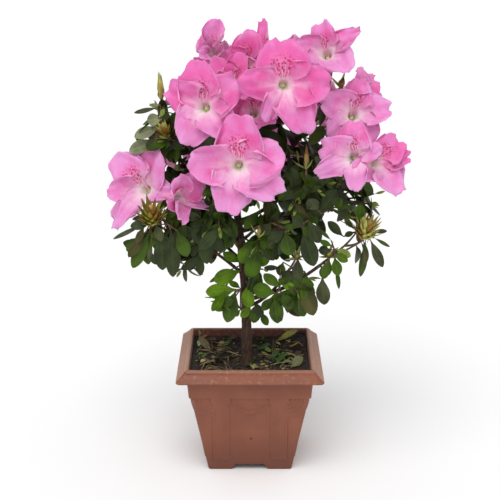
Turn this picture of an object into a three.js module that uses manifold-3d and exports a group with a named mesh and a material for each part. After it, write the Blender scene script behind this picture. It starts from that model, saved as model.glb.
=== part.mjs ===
// Potted florist's azalea: a small grafted standard with a slender trunk, a wide crown of pink
// blooms over dark leaves, and a square plastic pot filled with potting mix.
// Millimetres, +Z up. The origin is the centre of the pot's underside, the front faces -Y.
import * as THREE from "three";
import { mergeVertices } from "three/addons/utils/BufferGeometryUtils.js";
import Module from "manifold-3d";

const wasm = await Module();
wasm.setup();

// ---------------------------------------------------------------- driving dimensions

const CLEARANCE = 0.3; // between any two pieces

const POT = {
  height: 95.5,
  baseHalf: 35, // half the width across the feet
  bandLow: 70, // lower edge of the plain band
  bandHalf: 50,
  neck: 84.5, // where the rim leaves the wall
  neckHalf: 51.4,
  rimHalf: 60,
  rimLow: 87,
  ridgeHalf: 51.5, // the rim slopes up and inwards to this ridge
  ridgeFlat: 1.2,
  wall: 1.9,
  corner: 2.4, // radius of the upright corners
  floorTop: 8,
  channelHigh: 5.2, // of the arch between two feet
  channelFoot: 15.5, // half its width on the ground
  channelTop: 12,
  drain: 5, // radius of each drain hole
};

const SOIL = { edge: 88.2, middle: 81, ruffle: 1.3, cells: 6 };

const TRUNK = {
  foot: [-2.6, 0],
  top: 250,
  lean: -14.7, // sideways drift of the axis, most of it in the upper part
  leanPower: 2.4,
  back: 5,
  radius: [4.3, 2.5],
  flare: 2.1, // extra radius at the ground
  flareHeight: 5,
};

// Boughs. Each leaves the trunk at a height (from) and ends at a tip [right, back, up]; dip is how
// far the middle sags below the straight line, as a share of its length, negative where it arches.
const BOUGHS = {
  low_right: { from: 139, tip: [57, -22, 175.5], dip: 0.07, radius: [1.9, 1.3] },
  low_centre: { from: 133, tip: [31, -15, 168], dip: 0.12, radius: [1.6, 1.1] },
  low_left: { from: 160, tip: [-33, -10, 186], dip: -0.02, radius: [1.5, 1.1] },
  left: { from: 182, tip: [-50, -18, 228], dip: -0.08, radius: [2, 1.4] },
  centre_left: { from: 196, tip: [-24, -22, 222], dip: 0.05, radius: [1.5, 1.1] },
  upper_left: { from: 222, tip: [-48, -4, 268], dip: 0.06, radius: [2, 1.4] },
  centre: { from: 190, tip: [9, -17, 211], dip: 0.06, radius: [1.5, 1.1] },
  centre_right: { from: 206, tip: [36, -16, 240], dip: 0.06, radius: [1.7, 1.2] },
  right: { from: 198, tip: [62, -8, 226], dip: 0.04, radius: [2, 1.3] },
  upper_right: { from: 232, tip: [50, -2, 288], dip: 0.08, radius: [2.1, 1.4] },
  front: { from: 228, tip: [-10, -34, 258], dip: 0.1, radius: [1.9, 1.4] },
  top_left: { from: 246, tip: [-26, -8, 300], dip: 0.02, radius: [2, 1.3] },
  top_right: { from: 243, tip: [12, -12, 305], dip: 0.05, radius: [2, 1.4] },
  back_low_left: { from: 172, tip: [-34, 25, 196], dip: 0.05, radius: [1.6, 1.1] },
  back_low: { from: 178, tip: [22, 34, 200], dip: 0.05, radius: [1.6, 1.1] },
  back_left: { from: 214, tip: [-44, 34, 246], dip: 0.05, radius: [1.9, 1.3] },
  back: { from: 210, tip: [-2, 46, 246], dip: 0.05, radius: [1.9, 1.3] },
  back_right: { from: 218, tip: [44, 34, 248], dip: 0.05, radius: [1.9, 1.3] },
  back_top: { from: 240, tip: [2, 28, 292], dip: 0.05, radius: [1.9, 1.3] },
};

// Flowering twigs. Each grows from the side of its bough near the tip and carries the blooms in
// its rows: [right, back, up] of the throat, [turn, tilt] of the face in degrees (turn -90 looks to
// the front, tilt is upwards), width across the open lobes, how far the lobes open in degrees, roll
// of the uppermost lobe from upright, and the lobes that differ as {number: [length, breadth, turn
// in degrees]}, counted from the uppermost with the sun.
const TRUSSES = {
  front: {
    bough: "front",
    blooms: [
      {
        at: [-8.7, -73, 269],
        face: [-94, 10],
        width: 84,
        open: 74,
        roll: 3,
        lobes: { 3: [1, 1, 14], 4: [1.05, 1, 22] },
      },
      { at: [3, -30, 301], face: [-84, 34], width: 50, open: 64, roll: 16 },
    ],
  },
  front_left: {
    bough: "top_left",
    blooms: [
      { at: [-34, -50, 309], face: [-100, 14], width: 76, open: 76, roll: 10 },
      { at: [-8, -22, 325], face: [-84, 46], width: 44, open: 58, roll: -20 },
    ],
  },
  top_left: {
    bough: "top_left",
    blooms: [
      { at: [-22, 0, 350], face: [-128, 54], width: 54, open: 46, roll: 24, lobes: { 4: [1.2, 0.7, 0] } },
      { at: [4, 6, 341], face: [-80, 46], width: 44, open: 52, roll: 0 },
    ],
  },
  top_right: {
    bough: "top_right",
    blooms: [
      {
        at: [25, -56, 327],
        face: [-86, 8],
        width: 80,
        open: 78,
        roll: 3,
        lobes: { 0: [1, 1.2, 0], 1: [1.1, 1, -20], 2: [1, 0.9, -18], 4: [1, 1, 14] },
      },
      { at: [10, 27, 347], face: [70, 62], width: 50, open: 52, roll: 14, lobes: { 0: [1.35, 0.5, 0] } },
    ],
  },
  upper_right: {
    bough: "upper_right",
    blooms: [
      { at: [60, -22, 345], face: [-104, 30], width: 64, open: 62, roll: 18, lobes: { 1: [1.3, 0.5, 0] } },
      { at: [88, 0, 311], face: [-28, 28], width: 54, open: 58, roll: 10 },
    ],
  },
  right_front: {
    bough: "upper_right",
    blooms: [{ at: [84, -30, 298], face: [-82, 22], width: 64, open: 74, roll: -14 }],
  },
  right: {
    bough: "right",
    blooms: [
      {
        at: [80, -54, 271],
        face: [-98, 12],
        width: 66,
        open: 72,
        roll: 12,
        lobes: { 1: [0.75, 0.8, 0], 2: [0.9, 0.7, -36], 3: [1.25, 0.5, -40], 4: [1, 1, -8] },
      },
      {
        at: [96, -40, 257],
        face: [-62, 20],
        width: 60,
        open: 64,
        roll: -44,
        lobes: { 1: [1.02, 0.8, 20], 4: [0.6, 0.8, 0] },
      },
    ],
  },
  left: {
    bough: "left",
    blooms: [
      {
        at: [-88, -10, 231],
        face: [-120, 24],
        width: 80,
        open: 66,
        roll: 38,
        lobes: {
          0: [1.15, 1.1, 8],
          1: [1, 1, 12],
          2: [0.9, 0.7, 14],
          3: [0.95, 0.35, 34],
          4: [0.85, 0.5, 20],
        },
      },
      { at: [-57, -37, 238], face: [-40, 4], width: 54, open: 54, roll: 20, lobes: { 2: [1.2, 0.42, 0] } },
    ],
  },
  back_left: {
    bough: "back_left",
    blooms: [
      { at: [-74, 32, 252], face: [152, 20], width: 68, open: 74, roll: 10 },
      { at: [-39, 66, 262], face: [112, 14], width: 66, open: 78, roll: -16 },
      { at: [-56, 30, 306], face: [138, 40], width: 62, open: 70, roll: 20 },
    ],
  },
  back: {
    bough: "back",
    blooms: [
      { at: [7, 77, 278], face: [90, 12], width: 70, open: 80, roll: 4 },
      { at: [38, 65, 240], face: [70, 4], width: 60, open: 72, roll: -24 },
    ],
  },
  back_top: {
    bough: "back_top",
    blooms: [
      { at: [-24, 50, 324], face: [104, 38], width: 64, open: 72, roll: -10 },
      { at: [34, 50, 324], face: [76, 32], width: 66, open: 74, roll: 18 },
    ],
  },
  back_right: {
    bough: "back_right",
    blooms: [
      { at: [66, 44, 290], face: [48, 24], width: 68, open: 76, roll: 8 },
      { at: [86, 24, 252], face: [22, 10], width: 62, open: 68, roll: -18 },
    ],
  },
};

const BLOOM = { tube: 17, tubeRadius: 1.7, throat: 6.5, thick: 0.8, pedicel: 1 };

// Leaf masses. Each grows from the tip of its bough, or from the trunk at a height, and keeps
// to an ellipsoid of its own: middle [right, back, up] and half sizes; droop bends its leaves down.
const MASSES = {
  trunk_left: { trunk: 166, middle: [-22, -9, 153], half: [24, 18, 33], shoots: 3, droop: 0.6 },
  trunk_front: { trunk: 174, middle: [3, -17, 164], half: [18, 16, 34], shoots: 2, droop: 0.8 },
  low_centre: { middle: [32, -17, 157], half: [32, 18, 38], shoots: 4, droop: 0.8 },
  low_right: { middle: [79, -25, 195], half: [36, 20, 32], shoots: 4, droop: 0.5 },
  low_left: { middle: [-50, -14, 187], half: [30, 20, 33], shoots: 3, droop: 0.8 },
  left: { middle: [-78, -24, 208], half: [38, 25, 36], shoots: 4, droop: 0.6 },
  centre_left: { middle: [-31, -27, 214], half: [28, 18, 34], shoots: 3, droop: 0.5 },
  upper_left: { middle: [-68, -6, 282], half: [34, 24, 36], shoots: 4, droop: 0.1 },
  centre: { middle: [12, -27, 206], half: [26, 18, 34], shoots: 3, droop: 0.5 },
  centre_right: { middle: [45, -25, 242], half: [30, 20, 42], shoots: 3, droop: 0.4 },
  right: { middle: [84, -10, 228], half: [34, 20, 26], shoots: 2, droop: 0.2 },
  top_left: { middle: [-24, 0, 314], half: [28, 22, 28], shoots: 1, droop: 0 },
  top_right: { middle: [22, -10, 316], half: [30, 26, 28], shoots: 1, droop: 0 },
  back_low_left: { middle: [-42, 30, 192], half: [30, 24, 32], shoots: 2, leaves: 4, droop: 0.6 },
  back_low: { middle: [28, 42, 192], half: [34, 26, 34], shoots: 3, leaves: 4, droop: 0.7 },
  back_left: { middle: [-62, 44, 234], half: [30, 26, 34], shoots: 3, leaves: 4, droop: 0.4 },
  back: { middle: [-10, 58, 234], half: [32, 24, 36], shoots: 3, leaves: 4, droop: 0.4 },
  back_right: { middle: [62, 42, 232], half: [32, 26, 36], shoots: 3, leaves: 4, droop: 0.4 },
  back_top: { middle: [2, 40, 304], half: [34, 24, 28], shoots: 2, leaves: 4, droop: 0 },
};

const LEAF = { length: [24, 33], breadth: 0.5, midrib: 0.9, perShoot: 6 };
const TWIG = { stem: [1.2, 1], shoot: [1, 0.85], bud: 1.7 };
const GOLDEN_ANGLE = THREE.MathUtils.degToRad(137.508);

const COLOURS = {
  pot: 0x8a5646,
  soil: 0x2e2420,
  bark: 0x4a362c,
  leaf: 0x3a4a2a,
  petal: 0xe97fbc,
};

// ---------------------------------------------------------------- helpers

const { degToRad, lerp } = THREE.MathUtils;
const vec = (x, y, z) => new THREE.Vector3(x, y, z);
const UP = vec(0, 0, 1);

// A repeatable stream of numbers from 0 to 1.
function seeded(seed) {
  let a = seed >>> 0;
  return () => {
    a = (a + 0x6d2b79f5) >>> 0;
    let t = Math.imul(a ^ (a >>> 15), 1 | a);
    t = (t + Math.imul(t ^ (t >>> 7), 61 | t)) ^ t;
    return ((t ^ (t >>> 14)) >>> 0) / 4294967296;
  };
}

// A closed solid from points and triangles of point numbers.
function solidFrom(points, triangles) {
  const vertProperties = new Float32Array(points.flatMap((p) => [p.x, p.y, p.z]));
  const triVerts = new Uint32Array(triangles.flat());
  return new wasm.Manifold(new wasm.Mesh({ numProp: 3, vertProperties, triVerts }));
}

function solidOf(geometry) {
  const bare = geometry.clone();
  bare.deleteAttribute("normal");
  bare.deleteAttribute("uv");
  const merged = mergeVertices(bare, 1e-4);
  const vertProperties = new Float32Array(merged.attributes.position.array);
  const triVerts = new Uint32Array(merged.index.array);
  return new wasm.Manifold(new wasm.Mesh({ numProp: 3, vertProperties, triVerts }));
}

function geometryOf(solid) {
  const mesh = solid.getMesh();
  const points = new Float32Array(mesh.numVert * 3);
  for (let i = 0; i < mesh.numVert; i++) {
    points.set(mesh.vertProperties.subarray(i * mesh.numProp, i * mesh.numProp + 3), i * 3);
  }
  const geometry = new THREE.BufferGeometry();
  geometry.setAttribute("position", new THREE.BufferAttribute(points, 3));
  geometry.setIndex(new THREE.BufferAttribute(new Uint32Array(mesh.triVerts), 1));
  const flat = geometry.toNonIndexed();
  flat.computeVertexNormals();
  return flat;
}

const fuse = (solids) => solids.reduce((all, one) => all.add(one));

// The largest connected body of a solid: scraps that a cut leaves loose are dropped.
function largest(solid) {
  const bodies = solid.decompose();
  return bodies.reduce((best, one) => (one.volume() > best.volume() ? one : best));
}

// Rings of equal length joined in turn and closed by a flat fan at each end.
function loft(rings) {
  const n = rings[0].length;
  const triangles = [];
  rings.slice(1).forEach((_, k) => {
    for (let i = 0; i < n; i++) {
      const j = (i + 1) % n;
      const [a, b] = [k * n + i, k * n + j];
      triangles.push([a, b, b + n], [a, b + n, a + n]);
    }
  });
  const last = (rings.length - 1) * n;
  for (let i = 1; i < n - 1; i++) {
    triangles.push([0, i + 1, i], [last, last + i, last + i + 1]);
  }
  return solidFrom(rings.flat(), triangles);
}

// Any unit vector square to the one given.
function squareTo(v) {
  const other = Math.abs(v.z) < 0.9 ? UP : vec(1, 0, 0);
  return v.clone().cross(other).normalize();
}

// A tapering limb along a curve. radiusAt gives its radius from t = 0 at the foot to 1 at the tip;
// steps is a number of even steps, or a list of the shares of the length where rings stand.
function limb(curve, radiusAt, steps, sides, grow = 0) {
  const shares = Array.isArray(steps)
    ? steps
    : Array.from({ length: steps + 1 }, (_, k) => k / steps);
  const normal = squareTo(curve.getTangentAt(0));
  const rings = shares.map((t) => {
    const tangent = curve.getTangentAt(t);
    const middle = curve.getPointAt(t);
    if (t === 0) middle.addScaledVector(tangent, -grow);
    if (t === 1) middle.addScaledVector(tangent, grow);
    normal.addScaledVector(tangent, -normal.dot(tangent)).normalize();
    const side = tangent.clone().cross(normal);
    const radius = radiusAt(t) + grow;
    return Array.from({ length: sides }, (_, i) => {
      const a = (2 * Math.PI * i) / sides;
      return middle
        .clone()
        .addScaledVector(normal, radius * Math.cos(a))
        .addScaledVector(side, radius * Math.sin(a));
    });
  });
  return loft(rings);
}

// Two boxes around solids meet, with a margin.
function near(a, b, margin = 1) {
  const [p, q] = [a.boundingBox(), b.boundingBox()];
  return [0, 1, 2].every((i) => p.min[i] - margin < q.max[i] && q.min[i] - margin < p.max[i]);
}

const touches = (solid, others) =>
  others.some((other) => near(solid, other, 0) && solid.intersect(other).volume() > 1e-4);

// ---------------------------------------------------------------- scene graph

const group = new THREE.Group();
group.name = "potted_azalea";
const placed = []; // every plant node so far, with its solid and a copy grown by the clearance

function addNode(name, solid, colour, roughness = 0.8) {
  const material = new THREE.MeshStandardMaterial({ color: colour, roughness, metalness: 0 });
  material.name = name;
  const mesh = new THREE.Mesh(geometryOf(solid), material);
  mesh.name = name;
  group.add(mesh);
}

// Cuts a solid clear of the nodes already placed and keeps its main body.
function keepClear(solid) {
  let cut = solid;
  for (const other of placed) {
    if (near(cut, other.grown, 0)) cut = cut.subtract(other.grown);
  }
  return largest(cut);
}

// ---------------------------------------------------------------- pot

// A square ring with rounded corners, as points going round from the front right.
function squareRing(half, z, radius = POT.corner) {
  const points = [];
  for (let side = 0; side < 4; side++) {
    for (let k = 0; k <= 2; k++) {
      const a = degToRad(side * 90 - 90 + k * 45);
      const turn = degToRad(side * 90);
      const [cx, cy] = [half - radius, -(half - radius)];
      points.push(
        vec(
          Math.cos(turn) * cx - Math.sin(turn) * cy + radius * Math.cos(a),
          Math.sin(turn) * cx + Math.cos(turn) * cy + radius * Math.sin(a),
          z,
        ),
      );
    }
  }
  return points;
}

const wallHalf = (z) => lerp(POT.baseHalf, POT.neckHalf, z / POT.neck);

function potSolid() {
  const p = POT;
  const outer = loft([
    squareRing(p.baseHalf, 0),
    squareRing(wallHalf(p.bandLow) - 0.6, p.bandLow - 0.8),
    squareRing(p.bandHalf, p.bandLow),
    squareRing(p.neckHalf, p.neck),
    squareRing(p.rimHalf - 1, p.rimLow - 1.2, p.corner + 1),
    squareRing(p.rimHalf, p.rimLow, p.corner + 1),
    squareRing(p.ridgeHalf, p.height, p.corner),
  ]);
  const inside = loft([
    squareRing(wallHalf(p.floorTop) - p.wall, p.floorTop),
    squareRing(wallHalf(p.neck) - p.wall, p.neck),
    squareRing(p.ridgeHalf - p.ridgeFlat, p.height + 1, p.corner),
  ]);
  // The arch between the feet runs right through under the floor, both ways.
  const arch = new THREE.Shape(
    [
      [-p.channelFoot, -1],
      [p.channelFoot, -1],
      [p.channelFoot - 0.4, 0],
      [p.channelTop, p.channelHigh],
      [-p.channelTop, p.channelHigh],
      [-p.channelFoot + 0.4, 0],
    ].map(([x, y]) => new THREE.Vector2(x, y)),
  );
  const along = new THREE.ExtrudeGeometry(arch, { depth: 120, bevelEnabled: false });
  along.translate(0, 0, -60).rotateX(Math.PI / 2);
  const across = along.clone().rotateZ(Math.PI / 2);
  let pot = outer.subtract(inside).subtract(solidOf(along)).subtract(solidOf(across));
  for (const [x, y] of [[0, 0], [22, 0], [-22, 0], [0, 22], [0, -22]]) {
    const drain = new THREE.CylinderGeometry(p.drain, p.drain, 20, 6);
    pot = pot.subtract(solidOf(drain.rotateX(Math.PI / 2).translate(x, y, 5)));
  }
  return pot;
}
addNode("pot", potSolid(), COLOURS.pot, 0.6);

// ---------------------------------------------------------------- potting mix

// Fills the pot to just under the ridge: highest along the walls, flat where the trunk stands.
function soilSolid() {
  const random = seeded(11);
  const n = SOIL.cells;
  const half = wallHalf(SOIL.edge - 2) - POT.wall - CLEARANCE - 1.2;
  const top = [];
  for (let j = 0; j <= n; j++) {
    for (let i = 0; i <= n; i++) {
      const [u, v] = [(2 * i) / n - 1, (2 * j) / n - 1];
      const out = Math.max(Math.abs(u), Math.abs(v));
      const corner = u > 0.5 && v > 0.5 ? 3.5 : 0;
      const rise = out < 0.4 ? 0 : lerp(SOIL.middle, SOIL.edge, out ** 2.2) - SOIL.middle + corner;
      const ruffle = out < 0.4 || out > 0.99 ? 0 : (random() - 0.5) * 2 * SOIL.ruffle;
      top.push(vec(u * half, v * half, SOIL.middle + rise + ruffle));
    }
  }
  const low = POT.floorTop + CLEARANCE;
  const lowHalf = wallHalf(low) - POT.wall - CLEARANCE - 0.6;
  const triangles = [];
  const at = (i, j) => j * (n + 1) + i;
  for (let j = 0; j < n; j++) {
    for (let i = 0; i < n; i++) {
      triangles.push([at(i, j), at(i + 1, j), at(i + 1, j + 1)]);
      triangles.push([at(i, j), at(i + 1, j + 1), at(i, j + 1)]);
    }
  }
  const border = [];
  for (let i = 0; i < n; i++) border.push(at(i, 0));
  for (let j = 0; j < n; j++) border.push(at(n, j));
  for (let i = n; i > 0; i--) border.push(at(i, n));
  for (let j = n; j > 0; j--) border.push(at(0, j));
  const points = [...top];
  const first = points.length;
  for (const b of border) {
    points.push(vec((top[b].x * lowHalf) / half, (top[b].y * lowHalf) / half, low));
  }
  const centre = points.push(vec(0, 0, low)) - 1;
  border.forEach((b, k) => {
    const next = (k + 1) % border.length;
    triangles.push([b, first + k, first + next], [b, first + next, border[next]]);
    triangles.push([first + next, first + k, centre]);
  });
  return solidFrom(points, triangles);
}
addNode("potting_mix", soilSolid(), COLOURS.soil, 1);

// ---------------------------------------------------------------- trunk

const TRUNK_FOOT = SOIL.middle + CLEARANCE;

class TrunkAxis extends THREE.Curve {
  getPoint(t, target = new THREE.Vector3()) {
    const lean = TRUNK.lean * t ** TRUNK.leanPower;
    const z = lerp(TRUNK_FOOT, TRUNK.top, t);
    return target.set(TRUNK.foot[0] + lean, TRUNK.foot[1] + TRUNK.back * t ** 2, z);
  }
}
const TRUNK_RINGS = [0, 0.02, 0.05, 0.1, 0.2, 0.3, 0.4, 0.5, 0.6, 0.7, 0.8, 0.9, 1];
const trunkAxis = new TrunkAxis();
const trunkShare = (z) => (z - TRUNK_FOOT) / (TRUNK.top - TRUNK_FOOT);
const trunkRadius = (t) => {
  const flare = TRUNK.flare * Math.exp((-t * (TRUNK.top - TRUNK_FOOT)) / TRUNK.flareHeight);
  return lerp(TRUNK.radius[0], TRUNK.radius[1], t) + flare;
};
{
  // A flat cut at the ground: the foot ring lies level.
  const level = (solid) => solid.trimByPlane([0, 0, 1], TRUNK_FOOT);
  const solid = level(limb(trunkAxis, trunkRadius, TRUNK_RINGS, 8));
  placed.push({ name: "trunk", solid, grown: limb(trunkAxis, trunkRadius, TRUNK_RINGS, 8, CLEARANCE) });
  addNode("trunk", solid, COLOURS.bark, 0.9);
}

// ---------------------------------------------------------------- boughs

const boughs = {};
for (const [name, row] of Object.entries(BOUGHS)) {
  const start = trunkAxis.getPoint(trunkShare(row.from));
  const tip = vec(...row.tip);
  const middle = start.clone().lerp(tip, 0.5);
  middle.z -= row.dip * 2 * start.distanceTo(tip);
  const curve = new THREE.QuadraticBezierCurve3(start, middle, tip);
  const radiusAt = (t) => lerp(row.radius[0], row.radius[1], t);
  const solid = keepClear(limb(curve, radiusAt, 3, 5));
  boughs[name] = { curve, tip: row.radius[1] };
  placed.push({ name, solid, grown: limb(curve, radiusAt, 3, 5, CLEARANCE) });
  addNode("bough_" + name, solid, COLOURS.bark, 0.9);
}

// ---------------------------------------------------------------- blooms

// The frame of a bloom: out looks along its face, up is the upper lobe's side, right is their cross.
function faceFrame([turn, tilt]) {
  const [a, b] = [degToRad(turn), degToRad(tilt)];
  const out = vec(Math.cos(b) * Math.cos(a), Math.cos(b) * Math.sin(a), Math.sin(b));
  const up = UP.clone().addScaledVector(out, -UP.dot(out)).normalize();
  return { out, up, right: up.clone().cross(out) };
}

// One bloom is a thin closed sheet: a narrow tube that flares into five spread lobes. Its outside
// runs on down the pedicel, whose axis is the curve given, from the fork to the tube.
function bloomSolid(bloom, pedicel, seed, grow = 0) {
  const random = seeded(seed);
  const { out, up, right } = faceFrame(bloom.face);
  const middle = vec(...bloom.at);
  const at = (angle, r, depth) =>
    middle
      .clone()
      .addScaledVector(right, r * Math.cos(angle))
      .addScaledVector(up, r * Math.sin(angle))
      .addScaledVector(out, depth);
  const lobeLength = bloom.width / 2 - BLOOM.throat;
  const open = degToRad(bloom.open);
  const lobeOf = (k) => bloom.lobes?.[(k + 5) % 5] ?? [1, 1, 0];
  const axisOf = (k) => degToRad(90 + bloom.roll - 72 * k + lobeOf(k)[2]);
  const rings = [[], [], [], []];
  for (let k = 0; k < 5; k++) {
    const axis = axisOf(k);
    const notch = (axis + axisOf(k - 1)) / 2;
    const [stretch, breadth] = lobeOf(k);
    const length = lobeLength * stretch * (0.95 + 0.1 * random());
    const reflex = (random() - 0.35) * 0.5 + (k === 0 ? 0.1 : 0);
    const along = (share, angle) => {
      // Position on the lobe: share of its length, angle round the bloom.
      const inner = Math.min(share, 0.45) * length;
      const outer = Math.max(share - 0.45, 0) * length;
      const [a1, a2] = [open - 0.32, open + 0.25 + reflex];
      const r = BLOOM.throat + inner * Math.sin(a1) + outer * Math.sin(a2);
      const d = inner * Math.cos(a1) + outer * Math.cos(a2) + (random() - 0.5) * 2.2 * share;
      return at(angle, r, d);
    };
    rings[0].push(at(axis + degToRad(36), BLOOM.tubeRadius, -BLOOM.tube));
    rings[1].push(at(axis + degToRad(36), BLOOM.throat, 0));
    const shoulder = degToRad(22) * breadth;
    rings[2].push(along(0.42, notch), along(0.55, axis));
    rings[3].push(along(0.52, notch), along(0.86, axis + shoulder));
    rings[3].push(along(1, axis), along(0.86, axis - shoulder));
  }
  const front = rings.flat();
  const triangles = [];
  const start = [0, 5, 10, 20];
  const strip = (from, to, n) => {
    for (let i = 0; i < n; i++) {
      const [a, b] = [from + i, from + ((i + 1) % n)];
      const [c, d, e] = [0, 1, 2].map((k) => to + ((2 * i + k) % (2 * n)));
      triangles.push([a, d, c], [a, b, d], [b, e, d]);
    }
  };
  const inner = front.push(at(0, 0, -BLOOM.tube + 0.5)) - 1;
  const well = [0, 1, 2, 3, 4].map((i) => [inner, (i + 1) % 5, i]); // the bottom of the tube
  for (let i = 0; i < 5; i++) {
    const j = (i + 1) % 5;
    triangles.push([i, j, j + 5], [i, j + 5, i + 5]);
  }
  strip(start[1], start[2], 5);
  for (let k = 0; k < 5; k++) {
    // From the notch and the middle of a lobe out to its notch, shoulder, tip and shoulder.
    const [a, b, c] = [0, 1, 2].map((i) => start[2] + ((2 * k + i) % 10));
    const [d, e, f, g, h] = [0, 1, 2, 3, 4].map((i) => start[3] + ((4 * k + i) % 20));
    triangles.push([a, e, d], [a, b, e], [b, f, e], [b, g, f], [b, c, g], [c, h, g]);
  }
  const normals = front.map(() => vec(0, 0, 0));
  for (const [a, b, c] of triangles.concat(well)) {
    const n = front[b].clone().sub(front[a]).cross(front[c].clone().sub(front[a]));
    for (const i of [a, b, c]) normals[i].add(n);
  }
  normals.forEach((n) => n.normalize());
  const rim = (p, i) => {
    const isRim = i >= start[3] && i < start[3] + 20;
    return isRim ? p.clone().sub(middle).setLength(grow).add(p) : p.clone();
  };
  const upper = front.map((p, i) => rim(p, i).addScaledVector(normals[i], grow));
  const lower = front.map((p, i) => rim(p, i).addScaledVector(normals[i], -BLOOM.thick - grow));
  const count = front.length;
  const below = ([a, b, c]) => [a + count, c + count, b + count];
  const faces = [...triangles, ...well, ...triangles.map(below)];
  for (let i = 0; i < 20; i++) {
    const [a, b] = [start[3] + i, start[3] + ((i + 1) % 20)];
    faces.push([a, b, b + count], [a, b + count, a + count]);
  }
  const points = [...upper, ...lower.slice(0, -1)]; // the point under the well gives way
  let ring = [0, 1, 2, 3, 4].map((i) => i + count);
  const spokes = ring.map((i) => points[i].clone().sub(at(0, 0, -BLOOM.tube)).normalize());
  for (const t of [0.8, 0.4, 0]) {
    const tangent = pedicel.getTangentAt(t);
    const axis = pedicel.getPointAt(t);
    const turned = spokes.map((spoke) => {
      spoke.addScaledVector(tangent, -spoke.dot(tangent)).normalize();
      return axis.clone().addScaledVector(spoke, BLOOM.pedicel + grow);
    });
    const next = turned.map((p) => points.push(p) - 1);
    for (let i = 0; i < 5; i++) {
      const j = (i + 1) % 5;
      faces.push([ring[i], ring[j], next[j]], [ring[i], next[j], next[i]]);
    }
    ring = next;
  }
  for (let i = 1; i < 4; i++) faces.push([ring[0], ring[i], ring[i + 1]]);
  return solidFrom(points, faces);
}

let seed = 100;
for (const [name, row] of Object.entries(TRUSSES)) {
  const { curve } = boughs[row.bough];
  const root = curve.getPoint(0.93);
  const seeds = row.blooms.map(() => (seed += 7));
  const bases = row.blooms.map((bloom) => {
    const { out } = faceFrame(bloom.face);
    return { out, foot: vec(...bloom.at).addScaledVector(out, -BLOOM.tube - 0.6) };
  });
  const mean = bases.reduce((sum, b) => sum.add(b.foot), vec(0, 0, 0)).divideScalar(bases.length);
  const fork = bases.length > 1 ? root.clone().lerp(mean, 0.55) : root.clone().lerp(mean, 0.4);
  const bend = root.clone().lerp(fork, 0.5).addScaledVector(curve.getTangent(0.93), 1.5);
  const stem = new THREE.QuadraticBezierCurve3(root, bend, fork);
  const build = (grow) => {
    const parts = [limb(stem, (t) => lerp(1.4, 1.2, t), 2, 4, grow)];
    bases.forEach(({ out, foot }, i) => {
      const reach = fork.distanceTo(foot);
      const control = foot.clone().addScaledVector(out, -0.45 * reach);
      const start = fork.clone().addScaledVector(foot.clone().sub(fork).normalize(), -0.8);
      const bow = fork.clone().lerp(control, 0.5);
      const pedicel = new THREE.CubicBezierCurve3(start, bow, control, foot);
      parts.push(bloomSolid(row.blooms[i], pedicel, seeds[i], grow));
    });
    return fuse(parts);
  };
  const solid = keepClear(build(0));
  placed.push({ name, solid, grown: build(CLEARANCE) });
  addNode("blossom_" + name, solid, COLOURS.petal, 0.7);
}

// ---------------------------------------------------------------- leaf masses

// A leaf is a thin blade, widest past its middle, with a midrib that thins out to the tip. Its
// root is an upright edge sunk to the axis of the shoot.
function leafSolid(root, along, face, length, breadth, grow = 0) {
  const side = along.clone().cross(face).normalize();
  const normal = side.clone().cross(along).normalize();
  const at = (share, across, lift) =>
    root
      .clone()
      .addScaledVector(along, share * length)
      .addScaledVector(side, across)
      .addScaledVector(normal, lift);
  const half = breadth / 2 + grow;
  const points = [
    at(-grow / length, 0, 0.25 + grow),
    at(-grow / length, 0, -LEAF.midrib - grow),
    at(0.6, half, grow),
    at(1 + grow / length, 0, -grow),
    at(0.6, -half, grow),
  ];
  return solidFrom(points, [
    [0, 2, 4],
    [0, 1, 2],
    [0, 4, 1],
    [1, 3, 2],
    [4, 3, 1],
    [4, 2, 3],
  ]);
}

// Leaves turn to the light: forward on the front of the crown and back behind it.
const lightFrom = (p) => vec(0.5 * p.x, 2 * (p.y - 4), 0.4 * (p.z - 240)).normalize();

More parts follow.
